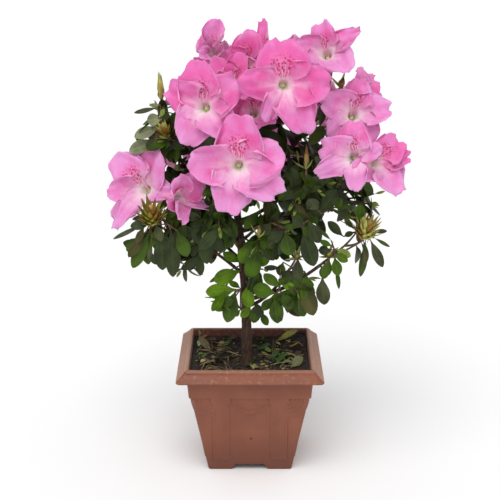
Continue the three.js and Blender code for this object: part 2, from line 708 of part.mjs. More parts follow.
for (const [name, row] of Object.entries(MASSES)) {
  const random = seeded((seed += 7));
  const middle = vec(...row.middle);
  const half = vec(...row.half);
  const inside = (p) => p.clone().sub(middle).divide(half).length() <= 1;
  const solids = () => placed.map((other) => other.solid);
  let start, heading, width;
  if (row.trunk) {
    start = trunkAxis.getPoint(trunkShare(row.trunk));
    heading = middle.clone().sub(start).setZ(0).normalize();
    width = TWIG.stem[0];
  } else {
    const { curve, tip } = boughs[name];
    heading = curve.getTangent(1);
    start = curve.getPoint(1).addScaledVector(heading, CLEARANCE + 0.02);
    width = tip;
  }
  const reach = start.distanceTo(middle);
  const end = middle.clone().lerp(start, 0.12);
  const bend = start.clone().addScaledVector(heading, 0.4 * reach);
  const stem = new THREE.QuadraticBezierCurve3(start, bend, end);
  const parts = [limb(stem, (t) => lerp(width, TWIG.stem[1], t), 3, 3)];
  const shoots = [];
  for (let s = 0; s < 4 * row.shoots && shoots.length < row.shoots; s++) {
    // Shoots spread evenly over the ellipsoid, each ending in a pointed bud.
    const z = 1 - (2 * ((s * 0.618 + 0.35) % 1));
    const turn = s * GOLDEN_ANGLE + random() * 0.8;
    const flat = Math.sqrt(1 - z * z);
    const direction = vec(flat * Math.cos(turn), flat * Math.sin(turn), z);
    const tip = middle.clone().addScaledVector(direction.multiply(half), 0.52);
    const from = stem.getPoint(lerp(0.45, 0.98, random()));
    const path = new THREE.LineCurve3(from, tip);
    const radiusAt = (t) =>
      t > 0.8 ? TWIG.bud * (t > 0.9 ? 0.12 : 1) : lerp(TWIG.shoot[0], TWIG.shoot[1], t);
    if (from.distanceTo(tip) < 7) continue;
    if (touches(limb(path, () => TWIG.shoot[0] + CLEARANCE, 2, 3), solids())) continue;
    const solid = limb(path, radiusAt, [0, 0.78, 0.86, 1], 3);
    if (touches(solid, solids().concat(shoots.map((other) => other.solid)))) continue;
    shoots.push({ path, solid, axis: path.getTangent(0), span: path.getLength() });
    parts.push(solid);
  }
  const leaves = [];
  for (const shoot of shoots) {
    const { path, axis, span } = shoot;
    const others = parts.filter((part) => part !== shoot.solid);
    const across = squareTo(axis);
    const first = random() * 6.28;
    for (let k = 0; k < (row.leaves ?? LEAF.perShoot); k++) {
      // A whorl below the bud and a few leaves further down. A leaf that finds no room tries again.
      for (let attempt = 0; attempt < 14; attempt++) {
        const spread = degToRad(lerp(48, 95, random()));
        const round = first + k * GOLDEN_ANGLE + (random() - 0.5) * 0.35 * attempt;
        const root = path.getPointAt(Math.max(0.78 - (1.7 * k) / span, 0.12));
        const outward = across.clone().applyAxisAngle(axis, round);
        const along = axis.clone().multiplyScalar(Math.cos(spread));
        along.addScaledVector(outward, Math.sin(spread)).addScaledVector(UP, -row.droop);
        along.normalize();
        // The upper side turns to the light: up, and out from the middle of the crown.
        const face = axis.clone().addScaledVector(UP, 0.2).addScaledVector(lightFrom(root), 2);
        if (face.clone().cross(along).length() < 0.3) face.copy(outward);
        const length = lerp(LEAF.length[0], LEAF.length[1], random()) * (1 - 0.04 * attempt);
        const breadth = length * LEAF.breadth * lerp(0.92, 1.08, random());
        if (-along.dot(axis) > 0.75 || !inside(root.clone().addScaledVector(along, length))) continue;
        const grown = leafSolid(root, along, face, length, breadth, CLEARANCE + 0.05);
        if (touches(grown, solids())) continue;
        const leaf = leafSolid(root, along, face, length, breadth);
        if (touches(leaf, leaves) || touches(leaf, others)) continue;
        leaves.push(leaf);
        break;
      }
    }
  }
  parts.push(...leaves);
  const solid = keepClear(fuse(parts));
  placed.push({ name, solid, grown: solid });
  addNode("leaves_" + name, solid, COLOURS.leaf, 0.75);
}

export default group;
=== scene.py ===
import math
import random

import bmesh
import bpy
import numpy as np
from mathutils import Matrix, Vector, noise
from mathutils.bvhtree import BVHTree


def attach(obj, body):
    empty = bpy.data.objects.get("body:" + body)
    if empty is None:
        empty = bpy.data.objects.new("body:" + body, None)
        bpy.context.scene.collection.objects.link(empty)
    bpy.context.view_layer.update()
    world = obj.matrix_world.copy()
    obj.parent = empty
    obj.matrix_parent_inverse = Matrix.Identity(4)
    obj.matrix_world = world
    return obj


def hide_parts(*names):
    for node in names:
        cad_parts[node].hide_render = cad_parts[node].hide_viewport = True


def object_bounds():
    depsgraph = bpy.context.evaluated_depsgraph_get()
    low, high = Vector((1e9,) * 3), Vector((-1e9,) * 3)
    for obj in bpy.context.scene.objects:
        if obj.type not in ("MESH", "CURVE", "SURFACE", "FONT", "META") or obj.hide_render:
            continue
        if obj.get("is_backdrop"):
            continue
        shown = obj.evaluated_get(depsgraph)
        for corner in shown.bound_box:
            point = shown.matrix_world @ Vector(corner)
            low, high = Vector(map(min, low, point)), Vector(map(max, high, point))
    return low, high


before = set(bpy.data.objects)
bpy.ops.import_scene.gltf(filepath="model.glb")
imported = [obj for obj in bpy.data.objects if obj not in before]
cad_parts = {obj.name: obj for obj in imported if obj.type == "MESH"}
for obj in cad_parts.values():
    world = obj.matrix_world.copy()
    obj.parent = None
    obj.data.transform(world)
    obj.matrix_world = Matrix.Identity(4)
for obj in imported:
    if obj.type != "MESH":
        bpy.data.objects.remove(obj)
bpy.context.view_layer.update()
scene = bpy.context.scene

# ------------------------------------------------------------------------------- camera
# A long lens a metre in front of the pot and a little above the crown, looking down on the
# potting mix. It is level, and nothing is shifted.
camera_data = bpy.data.cameras.new("camera")
camera_data.sensor_width = 36
camera_data.lens = 86.7
camera = bpy.data.objects.new("camera", camera_data)
camera.location = (0, -0.962, 0.454)
camera.rotation_euler = (math.radians(90 - 15.78), 0, 0)
scene.collection.objects.link(camera)
scene.camera = camera

# ------------------------------------------------------------------------------- studio
# A wide pale floor under an even white sky, with one broad soft light from the upper front.
floor_bm = bmesh.new()
bmesh.ops.create_grid(floor_bm, x_segments=1, y_segments=1, size=30)
floor_mesh = bpy.data.meshes.new("floor")
floor_bm.to_mesh(floor_mesh)
floor_bm.free()
floor = bpy.data.objects.new("floor", floor_mesh)
scene.collection.objects.link(floor)
floor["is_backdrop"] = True

floor_paint = bpy.data.materials.new("pale_floor")
floor_paint.use_nodes = True
floor_shader = floor_paint.node_tree.nodes["Principled BSDF"]
floor_shader.inputs["Base Color"].default_value = (0.93, 0.93, 0.93, 1)
floor_shader.inputs["Roughness"].default_value = 0.9
floor_mesh.materials.append(floor_paint)

sky = bpy.data.worlds.new("white_sky")
sky.use_nodes = True
sky.node_tree.nodes["Background"].inputs["Color"].default_value = (1, 1, 1, 1)
sky.node_tree.nodes["Background"].inputs["Strength"].default_value = 0.66
scene.world = sky

for light_name, energy, angle, turn in (
    ("key", 1.65, 45, (32, 0, -16)),
    ("fill", 0.25, 90, (70, 0, 40)),
):
    light_data = bpy.data.lights.new(light_name, "SUN")
    light_data.energy = energy
    light_data.angle = math.radians(angle)
    light = bpy.data.objects.new(light_name, light_data)
    light.rotation_euler = [math.radians(a) for a in turn]
    scene.collection.objects.link(light)
scene.view_settings.view_transform = "Standard"

# ------------------------------------------------------------------------------- pot
# A square tapered pot, injection moulded in one piece of brown polypropylene. Each face carries
# two fluted pilasters under a plain band, with draped festoons between them and at the corners;
# the rim slopes up and in, and an arch runs through under the floor between the four feet.
MM = 0.001
POT = {
    "base_half": 35, "neck_half": 51.4, "neck": 84.5, "band_low": 70.2, "band_half": 50.1,
    "rim_half": 60, "corner": 2.4, "wall": 1.9, "floor": 8,
}
PILASTER = {"centre": 24, "half": 7.1, "foot": 9.5, "proud": 0.95}
FLUTES = {"count": 5, "margin": 0.9, "deep": 0.5}
CAPITAL = {"low": 65.2, "half": 8.4, "proud": 1.45}
# Two strands of a festoon, the lower one thicker: height, rise to the ends, half width, proud.
STRANDS = ((55.5, 11.5, 1.5, 0.75), (60.5, 7.5, 0.9, 0.45))
PENDANT = {"height": 51.5, "radius": 1.4, "proud": 0.6}
FAN = {"centre": 31, "height": 71, "reach": 16.5, "folds": 1.9}
DIMPLE = {"x": 0.8, "z": 30.4, "radius": 1.2, "deep": 1.5}
ARCH = {"half": 12, "foot_half": 15.9, "height": 5.2}
DRAIN = {"radius": 5, "from_middle": 22}
FINE_COLUMNS, FINE_HALF, SIDE_COLUMNS = 112, 32.5, 14


def smooth_step(low, high, x):
    t = min(max((x - low) / (high - low), 0), 1)
    return t * t * (3 - 2 * t)


def mix(a, b, t):
    return a + (b - a) * t


def wall_half(z):
    return mix(POT["base_half"], POT["neck_half"], z / POT["neck"])


def ridge(distance, half, proud):
    """The height of a rounded bead at a distance from its middle."""
    return proud * (1 - smooth_step(0.45 * half, half, abs(distance)))


def face_relief(x, z):
    """How far the moulding stands out of the plain tapered face."""
    p, c = PILASTER, CAPITAL
    off = abs(abs(x) - p["centre"])
    shaft = 1 - smooth_step(p["half"] - 0.35, p["half"] + 0.25, off)
    rise = p["proud"] * (shaft * smooth_step(p["foot"] - 0.5, p["foot"], z))
    fluted = p["half"] - FLUTES["margin"]
    if off < fluted and p["foot"] + 3 < z < c["low"] - 2.5:
        pitch = 2 * fluted / FLUTES["count"]
        wave = math.sin(math.pi * ((off + fluted) / pitch)) ** 2
        ends = smooth_step(p["foot"] + 3, p["foot"] + 4.5, z)
        rise -= FLUTES["deep"] * wave * ends * (1 - smooth_step(c["low"] - 4, c["low"] - 2.5, z))
    if z > c["low"] - 0.4:
        top = smooth_step(c["low"] - 0.4, c["low"] + 0.2, z)
        sides = 1 - smooth_step(c["half"] - 0.3, c["half"] + 0.3, off)
        rise = max(rise, c["proud"] * top * sides)
    span = p["centre"] - p["half"]
    if abs(x) < span:
        for low, sag, half, proud in STRANDS:
            rise = max(rise, ridge(z - low - sag * (x / span) ** 2, half, proud))
        from_pendant = math.hypot(x, (z - PENDANT["height"]) * 0.6)
        rise = max(rise, ridge(from_pendant, PENDANT["radius"], PENDANT["proud"]))
    elif abs(x) > p["centre"] + p["half"]:
        # A fan of folds that hangs from the capital round the corner of the pot.
        reach = math.hypot(abs(x) - FAN["centre"], (z - FAN["height"]) * 0.8)
        fan = 1 - smooth_step(FAN["reach"] - 2, FAN["reach"], reach)
        folds = 0.5 + 0.42 * math.sin(reach * FAN["folds"])
        rise = max(rise, fan * folds * smooth_step(2, 5, reach))
    dimple = math.hypot(x - DIMPLE["x"], z - DIMPLE["z"])
    return rise - DIMPLE["deep"] * (1 - smooth_step(0.5, DIMPLE["radius"], dimple))


def section(z):
    """The half width of the plain outside at a height, band included."""
    if z > POT["band_low"] - 0.01:
        # The band widens from 70 mm up.
        return mix(POT["band_half"], POT["neck_half"], (z - 70) / (POT["neck"] - 70))
    return wall_half(z)


def pot_column(c, half, radius):
    """Where a column stands on a rounded square, as a place and an outward direction. Columns
    go from one corner's middle to the next: c runs from -1 to 1, evenly over the fine part."""
    fine = FINE_COLUMNS / (FINE_COLUMNS + 2 * SIDE_COLUMNS)
    straight, arc = half - radius, radius * math.pi / 4
    flat = min(FINE_HALF, straight - 0.5)
    a = abs(c)
    run = a / fine * flat if a <= fine else mix(flat, straight + arc, (a - fine) / (1 - fine))
    turn = max(run - straight, 0) / radius
    x = min(run, straight) + radius * math.sin(turn)
    y = -(half - radius + radius * math.cos(turn))
    side = math.copysign(1, c)
    return Vector((side * x, y, 0)), Vector((side * math.sin(turn), -math.cos(turn), 0))


# Even rows up the moulded face, then rows set one by one round the band and the neck.
levels = [0, 0.4] + [0.4 + (68.8 - 0.4) * k / 78 for k in range(1, 79)]
levels += [69.2, 69.6, 70.0, 70.25, 72, 76, 80, 82.5, 83.9, 84.5]
pot_bm = bmesh.new()
columns = FINE_COLUMNS + 2 * SIDE_COLUMNS
wall = bmesh.ops.create_grid(pot_bm, x_segments=columns, y_segments=len(levels) - 1, size=1)
for v in wall["verts"]:
    z = levels[round((v.co.y + 1) / 2 * (len(levels) - 1))]
    half = section(z)
    if z == levels[0]:
        half -= 0.4
    place, outward = pot_column(v.co.x, half, POT["corner"])
    rise = face_relief(place.x, z) if z < 70.1 else -0.35 * ridge(z - 83.9, 0.5, 1)
    v.co = place + outward * rise + Vector((0, 0, z))


def verts_among(geometry):
    """The vertices of what an operator has made."""
    return [g for g in geometry if isinstance(g, bmesh.types.BMVert)]


side_faces = pot_bm.faces[:]
for quarter in (1, 2, 3):
    turned = verts_among(bmesh.ops.duplicate(pot_bm, geom=side_faces)["geom"])
    bmesh.ops.rotate(pot_bm, verts=turned, matrix=Matrix.Rotation(quarter * math.pi / 2, 3, "Z"))
bmesh.ops.remove_doubles(pot_bm, verts=pot_bm.verts, dist=0.02)


def next_ring(bm, edges, half, z):
    """Extrudes a rounded-square ring of edges to a new half width and height."""
    made = bmesh.ops.extrude_edge_only(bm, edges=edges)["geom"]
    verts = verts_among(made)
    old = max(v.co.x for v in verts)
    for v in verts:
        v.co = Vector((v.co.x * half / old, v.co.y * half / old, z))
    return [g for g in made if isinstance(g, bmesh.types.BMEdge)]


def boundary(bm, z):
    return [e for e in bm.edges if e.is_boundary and all(abs(v.co.z - z) < 0.01 for v in e.verts)]


# Half widths and heights, from the neck over the rim and down the inside to the floor.
rings = [
    (52.2, 84.9), (58.6, 85.5), (59.5, 85.9), (POT["rim_half"], 86.6), (POT["rim_half"], 87.6),
    (59.6, 88.1), (59.0, 88.5), (56, 91.3), (54.1, 93.1), (53.8, 93.2), (53.6, 94.0),
    (52.8, 94.8), (52.0, 95.3), (51.4, 95.5), (50.7, 95.5), (50.2, 95.1), (50.0, 94.2),
] + [(wall_half(z) - POT["wall"], z) for z in (POT["neck"], 60, POT["floor"])]
loop = boundary(pot_bm, POT["neck"])
for half, z in rings:
    loop = next_ring(pot_bm, loop, half, z)
bmesh.ops.edgeloop_fill(pot_bm, edges=loop)
bmesh.ops.edgeloop_fill(pot_bm, edges=boundary(pot_bm, 0))
bmesh.ops.recalc_face_normals(pot_bm, faces=pot_bm.faces)


def make_piece(name, bm, material, *nodes, slot=None):
    """Turns a bmesh in millimetres into a piece in metres that stands for the nodes named."""
    bmesh.ops.scale(bm, vec=(MM, MM, MM), verts=bm.verts)
    mesh = bpy.data.meshes.new(name)
    bm.to_mesh(mesh)
    bm.free()
    mesh.shade_smooth()
    obj = bpy.data.objects.new(name, mesh)
    scene.collection.objects.link(obj)
    if material:
        mesh.materials.append(material)
        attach(obj, "root")
    if nodes:
        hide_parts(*nodes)
    return obj


def settle(obj):
    """Applies the modifiers of a piece to its mesh."""
    evaluated = obj.evaluated_get(bpy.context.evaluated_depsgraph_get())
    mesh = bpy.data.meshes.new_from_object(evaluated)
    obj.modifiers.clear()
    old, obj.data = obj.data, mesh
    bpy.data.meshes.remove(old)


def cut(obj, cutter):
    boolean = obj.modifiers.new("cut", "BOOLEAN")
    boolean.operation = "DIFFERENCE"
    boolean.solver = "MANIFOLD"
    boolean.object = cutter
    settle(obj)
    bpy.data.objects.remove(cutter)


def node_material(name, rough):
    """A new material, its node tree and its shader."""
    material = bpy.data.materials.new(name)
    material.use_nodes = True
    shader = material.node_tree.nodes["Principled BSDF"]
    shader.inputs["Roughness"].default_value = rough
    return material, material.node_tree, shader


def add_node(tree, kind, links=(), **values):
    """A node with its sockets set: a socket's value by name or number, or a link to it."""
    node = tree.nodes.new(kind)
    for key, value in values.items():
        setattr(node, key, value)
    for socket, value in dict(links).items():
        if isinstance(value, bpy.types.NodeSocket):
            tree.links.new(value, node.inputs[socket])
        else:
            node.inputs[socket].default_value = value
    return node


def srgb(*colour):
    """Linear colour from the usual 0 to 255 values."""
    shares = [c / 255 for c in colour]
    return tuple(c / 12.92 if c < 0.04045 else ((c + 0.055) / 1.055) ** 2.4 for c in shares)


def ramp(tree, factor, stops):
    """A colour ramp from (place, colour) stops, read at a factor."""
    node = add_node(tree, "ShaderNodeValToRGB", {"Fac": factor})
    elements = node.color_ramp.elements
    while len(elements) < len(stops):
        elements.new(0.5)
    for element, (place, colour) in zip(elements, stops):
        element.position = place
        element.color = (*colour, 1)
    return node.outputs["Color"]


def math_node(tree, operation, *values):
    return add_node(tree, "ShaderNodeMath", enumerate(values), operation=operation).outputs[0]


def product(tree, first, *others):
    for other in others:
        first = math_node(tree, "MULTIPLY", first, other)
    return first


def map_range(tree, value, low, high, to_low=0.0, to_high=1.0, kind="SMOOTHSTEP"):
    sockets = {"From Min": low, "From Max": high, "To Min": to_low, "To Max": to_high}
    node = add_node(
        tree, "ShaderNodeMapRange", {"Value": value, **sockets}, interpolation_type=kind
    )
    return node.outputs["Result"]


def blend_colours(tree, factor, first, second):
    pair = [c if isinstance(c, bpy.types.NodeSocket) else (*c, 1) for c in (first, second)]
    sockets = {0: factor, 6: pair[0], 7: pair[1]}
    return add_node(tree, "ShaderNodeMix", sockets, data_type="RGBA").outputs[2]


def bump(tree, shader, height, strength, distance):
    sockets = {"Height": height, "Strength": strength, "Distance": distance}
    node = add_node(tree, "ShaderNodeBump", sockets)
    tree.links.new(node.outputs["Normal"], shader.inputs["Normal"])


def object_place(tree):
    return tree.nodes.new("ShaderNodeTexCoord").outputs["Object"]


def fine_noise(tree, place, scale, detail=2.0):
    sockets = {"Vector": place, "Scale": scale, "Detail": detail}
    return add_node(tree, "ShaderNodeTexNoise", sockets).outputs["Fac"]


# Speckle puts out a mask of soft specks, for dust, scuffs and mottling.
speckle_group = bpy.data.node_groups.new("Speckle", "ShaderNodeTree")
for socket_name, kind in (
    ("Vector", "Vector"), ("Scale", "Float"), ("Cover", "Float"), ("Softness", "Float")
):
    speckle_group.interface.new_socket(
        socket_name, in_out="INPUT", socket_type="NodeSocket" + kind
    )
speckle_group.interface.new_socket("Mask", in_out="OUTPUT", socket_type="NodeSocketFloat")
given = speckle_group.nodes.new("NodeGroupInput").outputs
specks = fine_noise(speckle_group, given["Vector"], given["Scale"], 5)
full = math_node(speckle_group, "ADD", given["Cover"], given["Softness"])
mask = map_range(speckle_group, specks, given["Cover"], full)
add_node(speckle_group, "NodeGroupOutput", {"Mask": mask})


def speckle(tree, vector, scale, cover, softness):
    sockets = {"Vector": vector, "Scale": scale, "Cover": cover, "Softness": softness}
    return add_node(
        tree, "ShaderNodeGroup", sockets, node_tree=speckle_group
    ).outputs["Mask"]


# Moulded plastic: brown, a little mottled, darker towards the foot, with pale scuffs and dust on
# the rim. Painted shade darkens the band under the rim and the inner wall above the potting mix.
pot_plastic, tree, shader = node_material("brown_pot_plastic", 0.5)
place = object_place(tree)
split = add_node(tree, "ShaderNodeSeparateXYZ", {0: place})
height = split.outputs["Z"]
sides = [math_node(tree, "ABSOLUTE", split.outputs[axis]) for axis in "XY"]
mottle = speckle(tree, place, 45, 0.35, 0.35)
body = blend_colours(tree, mottle, srgb(123, 67, 45), srgb(135, 77, 54))
low = map_range(tree, height, 0.0, 0.045)
body = blend_colours(tree, low, srgb(106, 56, 38), body)
# Painted shade: above 83.6 mm, everything within 52 mm of the middle is painted dark brown. That
# covers the band under the rim lip and the inner wall above the potting mix.
inside = product(
    tree, map_range(tree, math_node(tree, "MAXIMUM", *sides), 0.054, 0.052),
    map_range(tree, height, 0.0826, 0.0836, 0.0, 0.8),
)
body = blend_colours(tree, inside, body, srgb(84, 46, 36))
on_rim = map_range(tree, height, 0.083, 0.0865, 0.0, 0.36)
scuff = product(tree, speckle(tree, place, 300, 0.5, 0.3), on_rim)
body = blend_colours(tree, scuff, body, srgb(198, 158, 132))
# The rim's two side slopes are painted lighter, as painted light from the sides, and its upper edge
# carries a painted highlight.
painted_side_light = map_range(tree, math_node(tree, "SUBTRACT", *sides), 0.0, 0.002, 0.0, 0.8)
body = blend_colours(tree, product(tree, painted_side_light, on_rim), body, srgb(212, 174, 148))
# Painted highlight: the top of the rim, which faces the light, is painted lighter.
painted_rim_highlight = map_range(tree, height, 0.0935, 0.0952, 0.0, 0.4)
body = blend_colours(tree, painted_rim_highlight, body, srgb(184, 134, 106))
tree.links.new(body, shader.inputs["Base Color"])
rough = map_range(tree, mottle, 0.0, 1.0, 0.48, 0.62, "LINEAR")
tree.links.new(rough, shader.inputs["Roughness"])
bump(tree, shader, fine_noise(tree, place, 900, 3), 0.12, 0.0004)

pot = make_piece("moulded_pot", pot_bm, None)
for quarter in (0, 1):
    arch_bm = bmesh.new()
    bmesh.ops.create_cube(arch_bm, size=2)
    for v in arch_bm.verts:
        upper = v.co.z > 0
        half = ARCH["half"] if upper else ARCH["foot_half"]
        v.co = Vector((v.co.x * half, v.co.y * POT["rim_half"], ARCH["height"] if upper else -0.4))
    turn = Matrix.Rotation(quarter * math.pi / 2, 3, "Z")
    bmesh.ops.rotate(arch_bm, verts=arch_bm.verts, matrix=turn)
    cut(pot, make_piece("arch", arch_bm, None))
drain_bm = bmesh.new()
for x, y in ((0, 0), (1, 0), (-1, 0), (0, 1), (0, -1)):
    place = Vector((x, y, 0)) * DRAIN["from_middle"] + Vector((0, 0, 5))
    bmesh.ops.create_cone(
        drain_bm, cap_ends=True, segments=24, radius1=DRAIN["radius"], radius2=DRAIN["radius"],
        depth=20, matrix=Matrix.Translation(place),
    )
cut(pot, make_piece("drains", drain_bm, None))
pot.data.materials.clear()
pot.data.materials.append(pot_plastic)
pot.data.set_sharp_from_angle(angle=math.radians(35))
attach(pot, "root")
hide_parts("pot")

# ------------------------------------------------------------------------------- potting mix
# Dark peat and composted bark, filled to just under the rim and trodden down in the middle by
# watering, with loose crumbs on it and a few pale grains of grit.
SOIL = {"edge": 88.2, "middle": 81, "half": 49.2, "low": 8.3, "low_half": 34}


def soil_height(u, w):
    """The height of the surface over the pot's square, without its small lumps."""
    out = max(abs(u), abs(w))
    corner = 3.5 * smooth_step(0.4, 0.7, u) * smooth_step(0.4, 0.7, w)
    dish = max(out - 0.25, 0) / 0.75
    return SOIL["middle"] + (SOIL["edge"] - SOIL["middle"]) * dish**1.9 + corner * (out > 0.4)


def on_soil(x, y, lift=0.0):
    """A point on the lumpy surface, in millimetres."""
    z = soil_height(x / SOIL["half"], y / SOIL["half"])
    z += 1.1 * noise.noise(Vector((x, y, 3)) * 0.09) + 0.7 * noise.noise(Vector((x, y, 9)) * 0.3)
    return Vector((x, y, z + 0.45 * noise.noise(Vector((x, y, 5)) * 0.9) + lift))


soil_bm = bmesh.new()
soil = bmesh.ops.create_grid(soil_bm, x_segments=110, y_segments=110, size=1)
for v in soil["verts"]:
    x, y = v.co.x * SOIL["half"], v.co.y * SOIL["half"]
    corner = Vector((max(abs(x) - SOIL["half"] + 3, 0), max(abs(y) - SOIL["half"] + 3, 0)))
    if corner.length > 3:
        pull = corner * (1 - 3 / corner.length)
        x -= math.copysign(pull.x, x)
        y -= math.copysign(pull.y, y)
    v.co = on_soil(x, y)
skirt = bmesh.ops.extrude_edge_only(soil_bm, edges=[e for e in soil_bm.edges if e.is_boundary])
shrink = SOIL["low_half"] / SOIL["half"]
for v in verts_among(skirt["geom"]):
    v.co = Vector((v.co.x * shrink, v.co.y * shrink, SOIL["low"]))
bmesh.ops.edgeloop_fill(soil_bm, edges=[e for e in soil_bm.edges if e.is_boundary])
bmesh.ops.recalc_face_normals(soil_bm, faces=soil_bm.faces)

peat, tree, shader = node_material("peat", 0.95)
place = object_place(tree)
lumps = fine_noise(tree, place, 260, 8)
tones = [(0.3, srgb(20, 15, 15)), (0.5, srgb(38, 28, 25)), (0.66, srgb(60, 45, 37))]
bits = speckle(tree, place, 700, 0.66, 0.05)
colour = blend_colours(tree, bits, ramp(tree, lumps, tones), srgb(128, 100, 76))
tree.links.new(colour, shader.inputs["Base Color"])
bump(tree, shader, lumps, 0.9, 0.0015)
make_piece("potting_peat", soil_bm, peat, "potting_mix", slot="potting_mix")


def mottled_material(name, rough, scale, dark, light, detail=2.0, edge=0.35, relief=None):
    """Two tones that run into each other, with an optional relief: its strength and depth."""
    material, tree, shader = node_material(name, rough)
    mottle = fine_noise(tree, object_place(tree), scale, detail)
    tone = ramp(tree, mottle, [(edge, srgb(*dark)), (1 - edge, srgb(*light))])
    tree.links.new(tone, shader.inputs["Base Color"])
    if relief:
        bump(tree, shader, mottle, *relief)
    return material


soil_rng = random.Random(4)
for name, count, sizes, tones in (
    ("peat_crumbs", 420, (0.5, 1.7), ((34, 25, 23), (70, 50, 40))),
    ("grit", 34, (0.5, 1.2), ((150, 140, 120), (190, 182, 165))),
):
    crumb_bm = bmesh.new()
    for _ in range(count):
        x, y = (soil_rng.uniform(-45, 45) for _ in "xy")
        size = soil_rng.uniform(*sizes)
        turn = Matrix.Rotation(soil_rng.uniform(0, 6.28), 4, Vector((x, y, 20)).normalized())
        squash = Matrix.Diagonal((size, size * soil_rng.uniform(0.5, 1), size * 0.6, 1))
        at = Matrix.Translation(on_soil(x, y, 0.2 * size))
        made = bmesh.ops.create_icosphere(
            crumb_bm, subdivisions=1, radius=1, matrix=at @ turn @ squash
        )
        for v in made["verts"]:
            dents = [noise.noise(v.co * 0.9 + Vector((7.3 * k, 0, 0))) for k in range(3)]
            v.co += 0.25 * size * Vector(dents)
    make_piece(name, crumb_bm, mottled_material(name, 0.9, 500, *tones), slot="potting_mix")

# ------------------------------------------------------------------------------- trunk and boughs
# One slender trunk with thin, finely ridged brown bark, flared a little at the ground and leaning
# left as it rises. Each bough leaves it at its own height and tapers to where its foliage starts.
TRUNK = {
    "foot": (-2.6, 0), "low": 81.3, "top": 250, "lean": -14.7, "power": 2.4, "back": 5,
    "radius": (4.6, 2.6), "flare": 1.3, "flare_height": 5,
}
BOUGHS = {
    "low_right": (139, (57, -22, 175.5), 0.07, (1.9, 1.3)),
    "low_centre": (133, (31, -15, 168), 0.12, (1.6, 1.1)),
    "low_left": (160, (-33, -10, 186), -0.02, (1.5, 1.1)),
    "left": (182, (-50, -18, 228), -0.08, (2, 1.4)),
    "centre_left": (196, (-24, -22, 222), 0.05, (1.5, 1.1)),
    "upper_left": (222, (-48, -4, 268), 0.06, (2, 1.4)),
    "centre": (190, (9, -17, 211), 0.06, (1.5, 1.1)),
    "centre_right": (206, (36, -16, 240), 0.06, (1.7, 1.2)),
    "right": (198, (62, -8, 226), 0.04, (2, 1.3)),
    "upper_right": (232, (50, -2, 288), 0.08, (2.1, 1.4)),
    "front": (228, (-10, -34, 258), 0.1, (1.9, 1.4)),
    "top_left": (246, (-26, -8, 300), 0.02, (2, 1.3)),
    "top_right": (243, (12, -12, 305), 0.05, (2, 1.4)),
    "back_low_left": (172, (-34, 25, 196), 0.05, (1.6, 1.1)),
    "back_low": (178, (22, 34, 200), 0.05, (1.6, 1.1)),
    "back_left": (214, (-44, 34, 246), 0.05, (1.9, 1.3)),
    "back": (210, (-2, 46, 246), 0.05, (1.9, 1.3)),
    "back_right": (218, (44, 34, 248), 0.05, (1.9, 1.3)),
    "back_top": (240, (2, 28, 292), 0.05, (1.9, 1.3)),
}


def trunk_point(t):
    lean = TRUNK["lean"] * t ** TRUNK["power"]
    x, y = TRUNK["foot"]
    return Vector((x + lean, y + TRUNK["back"] * t * t, mix(TRUNK["low"], TRUNK["top"], t)))


def trunk_radius(t):
    flare = TRUNK["flare"] * math.exp(-t * (TRUNK["top"] - TRUNK["low"]) / TRUNK["flare_height"])
    return mix(*TRUNK["radius"], t) + flare


def trunk_at(z):
    return trunk_point((z - TRUNK["low"]) / (TRUNK["top"] - TRUNK["low"]))


def bezier(points, t):
    """A point on the curve that a list of control points gives."""
    while len(points) > 1:
        points = [a.lerp(b, t) for a, b in zip(points, points[1:])]
    return points[0]


class Limbs:
    """Round limbs of varying radius, gathered as splines of one curve and made one mesh."""

    def __init__(self, sides):
        self.data = bpy.data.curves.new("limbs", "CURVE")
        self.data.dimensions = "3D"
        self.data.bevel_depth = 1
        self.data.bevel_resolution = sides // 2 - 2
        self.data.use_fill_caps = True

    def add(self, points, radii):
        spline = self.data.splines.new("POLY")
        spline.points.add(len(points) - 1)
        for spot, p, radius in zip(spline.points, points, radii):
            spot.co = (*p, 1)
            spot.radius = radius

    def mesh(self):
        """A bmesh of all the limbs, in millimetres."""
        obj = bpy.data.objects.new("limbs", self.data)
        scene.collection.objects.link(obj)
        made = obj.evaluated_get(bpy.context.evaluated_depsgraph_get()).to_mesh()
        bm = bmesh.new()
        bm.from_mesh(made)
        bpy.data.objects.remove(obj)
        return bm


def along(count):
    return [k / count for k in range(count + 1)]


trunk = Limbs(24)
trunk.add([trunk_point(t) for t in along(110)], [trunk_radius(t) for t in along(110)])
wood_bm = trunk.mesh()
boughs = {}
bough_limbs = Limbs(12)
for name, (height, tip, dip, radius) in BOUGHS.items():
    start, tip = trunk_at(height), Vector(tip)
    middle = start.lerp(tip, 0.5)
    middle.z -= dip * 2 * (tip - start).length
    boughs[name] = [start, middle, tip]
    # Thicker for a few millimetres where it leaves the trunk, as a branch collar is.
    radii = [mix(*radius, t) * (1 + 0.35 * math.exp(-t * 12)) for t in along(36)]
    bough_limbs.add([bezier(boughs[name], t) for t in along(36)], radii)
bough_bm = bough_limbs.mesh()
for bm, depth, across in ((wood_bm, 0.42, 0.55), (bough_bm, 0.16, 1.1)):
    bm.normal_update()
    for v in bm.verts:
        p = v.co
        ridges = noise.noise(Vector((p.x * across, p.y * across, p.z * 0.12)))
        knots = max(noise.noise(p * 0.13 + Vector((7, 3, 1))) - 0.32, 0) * 2.2
        v.co += v.normal * depth * (ridges + 0.5 * noise.noise(p * 0.9) + knots)
        v.co.z = max(v.co.z, TRUNK["low"] - 1)

bark, tree, shader = node_material("thin_brown_bark", 0.85)
place = object_place(tree)
drawn = add_node(tree, "ShaderNodeMapping", {"Vector": place, "Scale": (1, 1, 0.22)}).outputs[0]
grain = add_node(
    tree, "ShaderNodeTexNoise", {"Vector": drawn, "Scale": 900, "Detail": 6, "Roughness": 0.6}
).outputs["Fac"]
tones = [(0.3, srgb(35, 22, 16)), (0.5, srgb(62, 41, 29)), (0.7, srgb(98, 71, 51))]
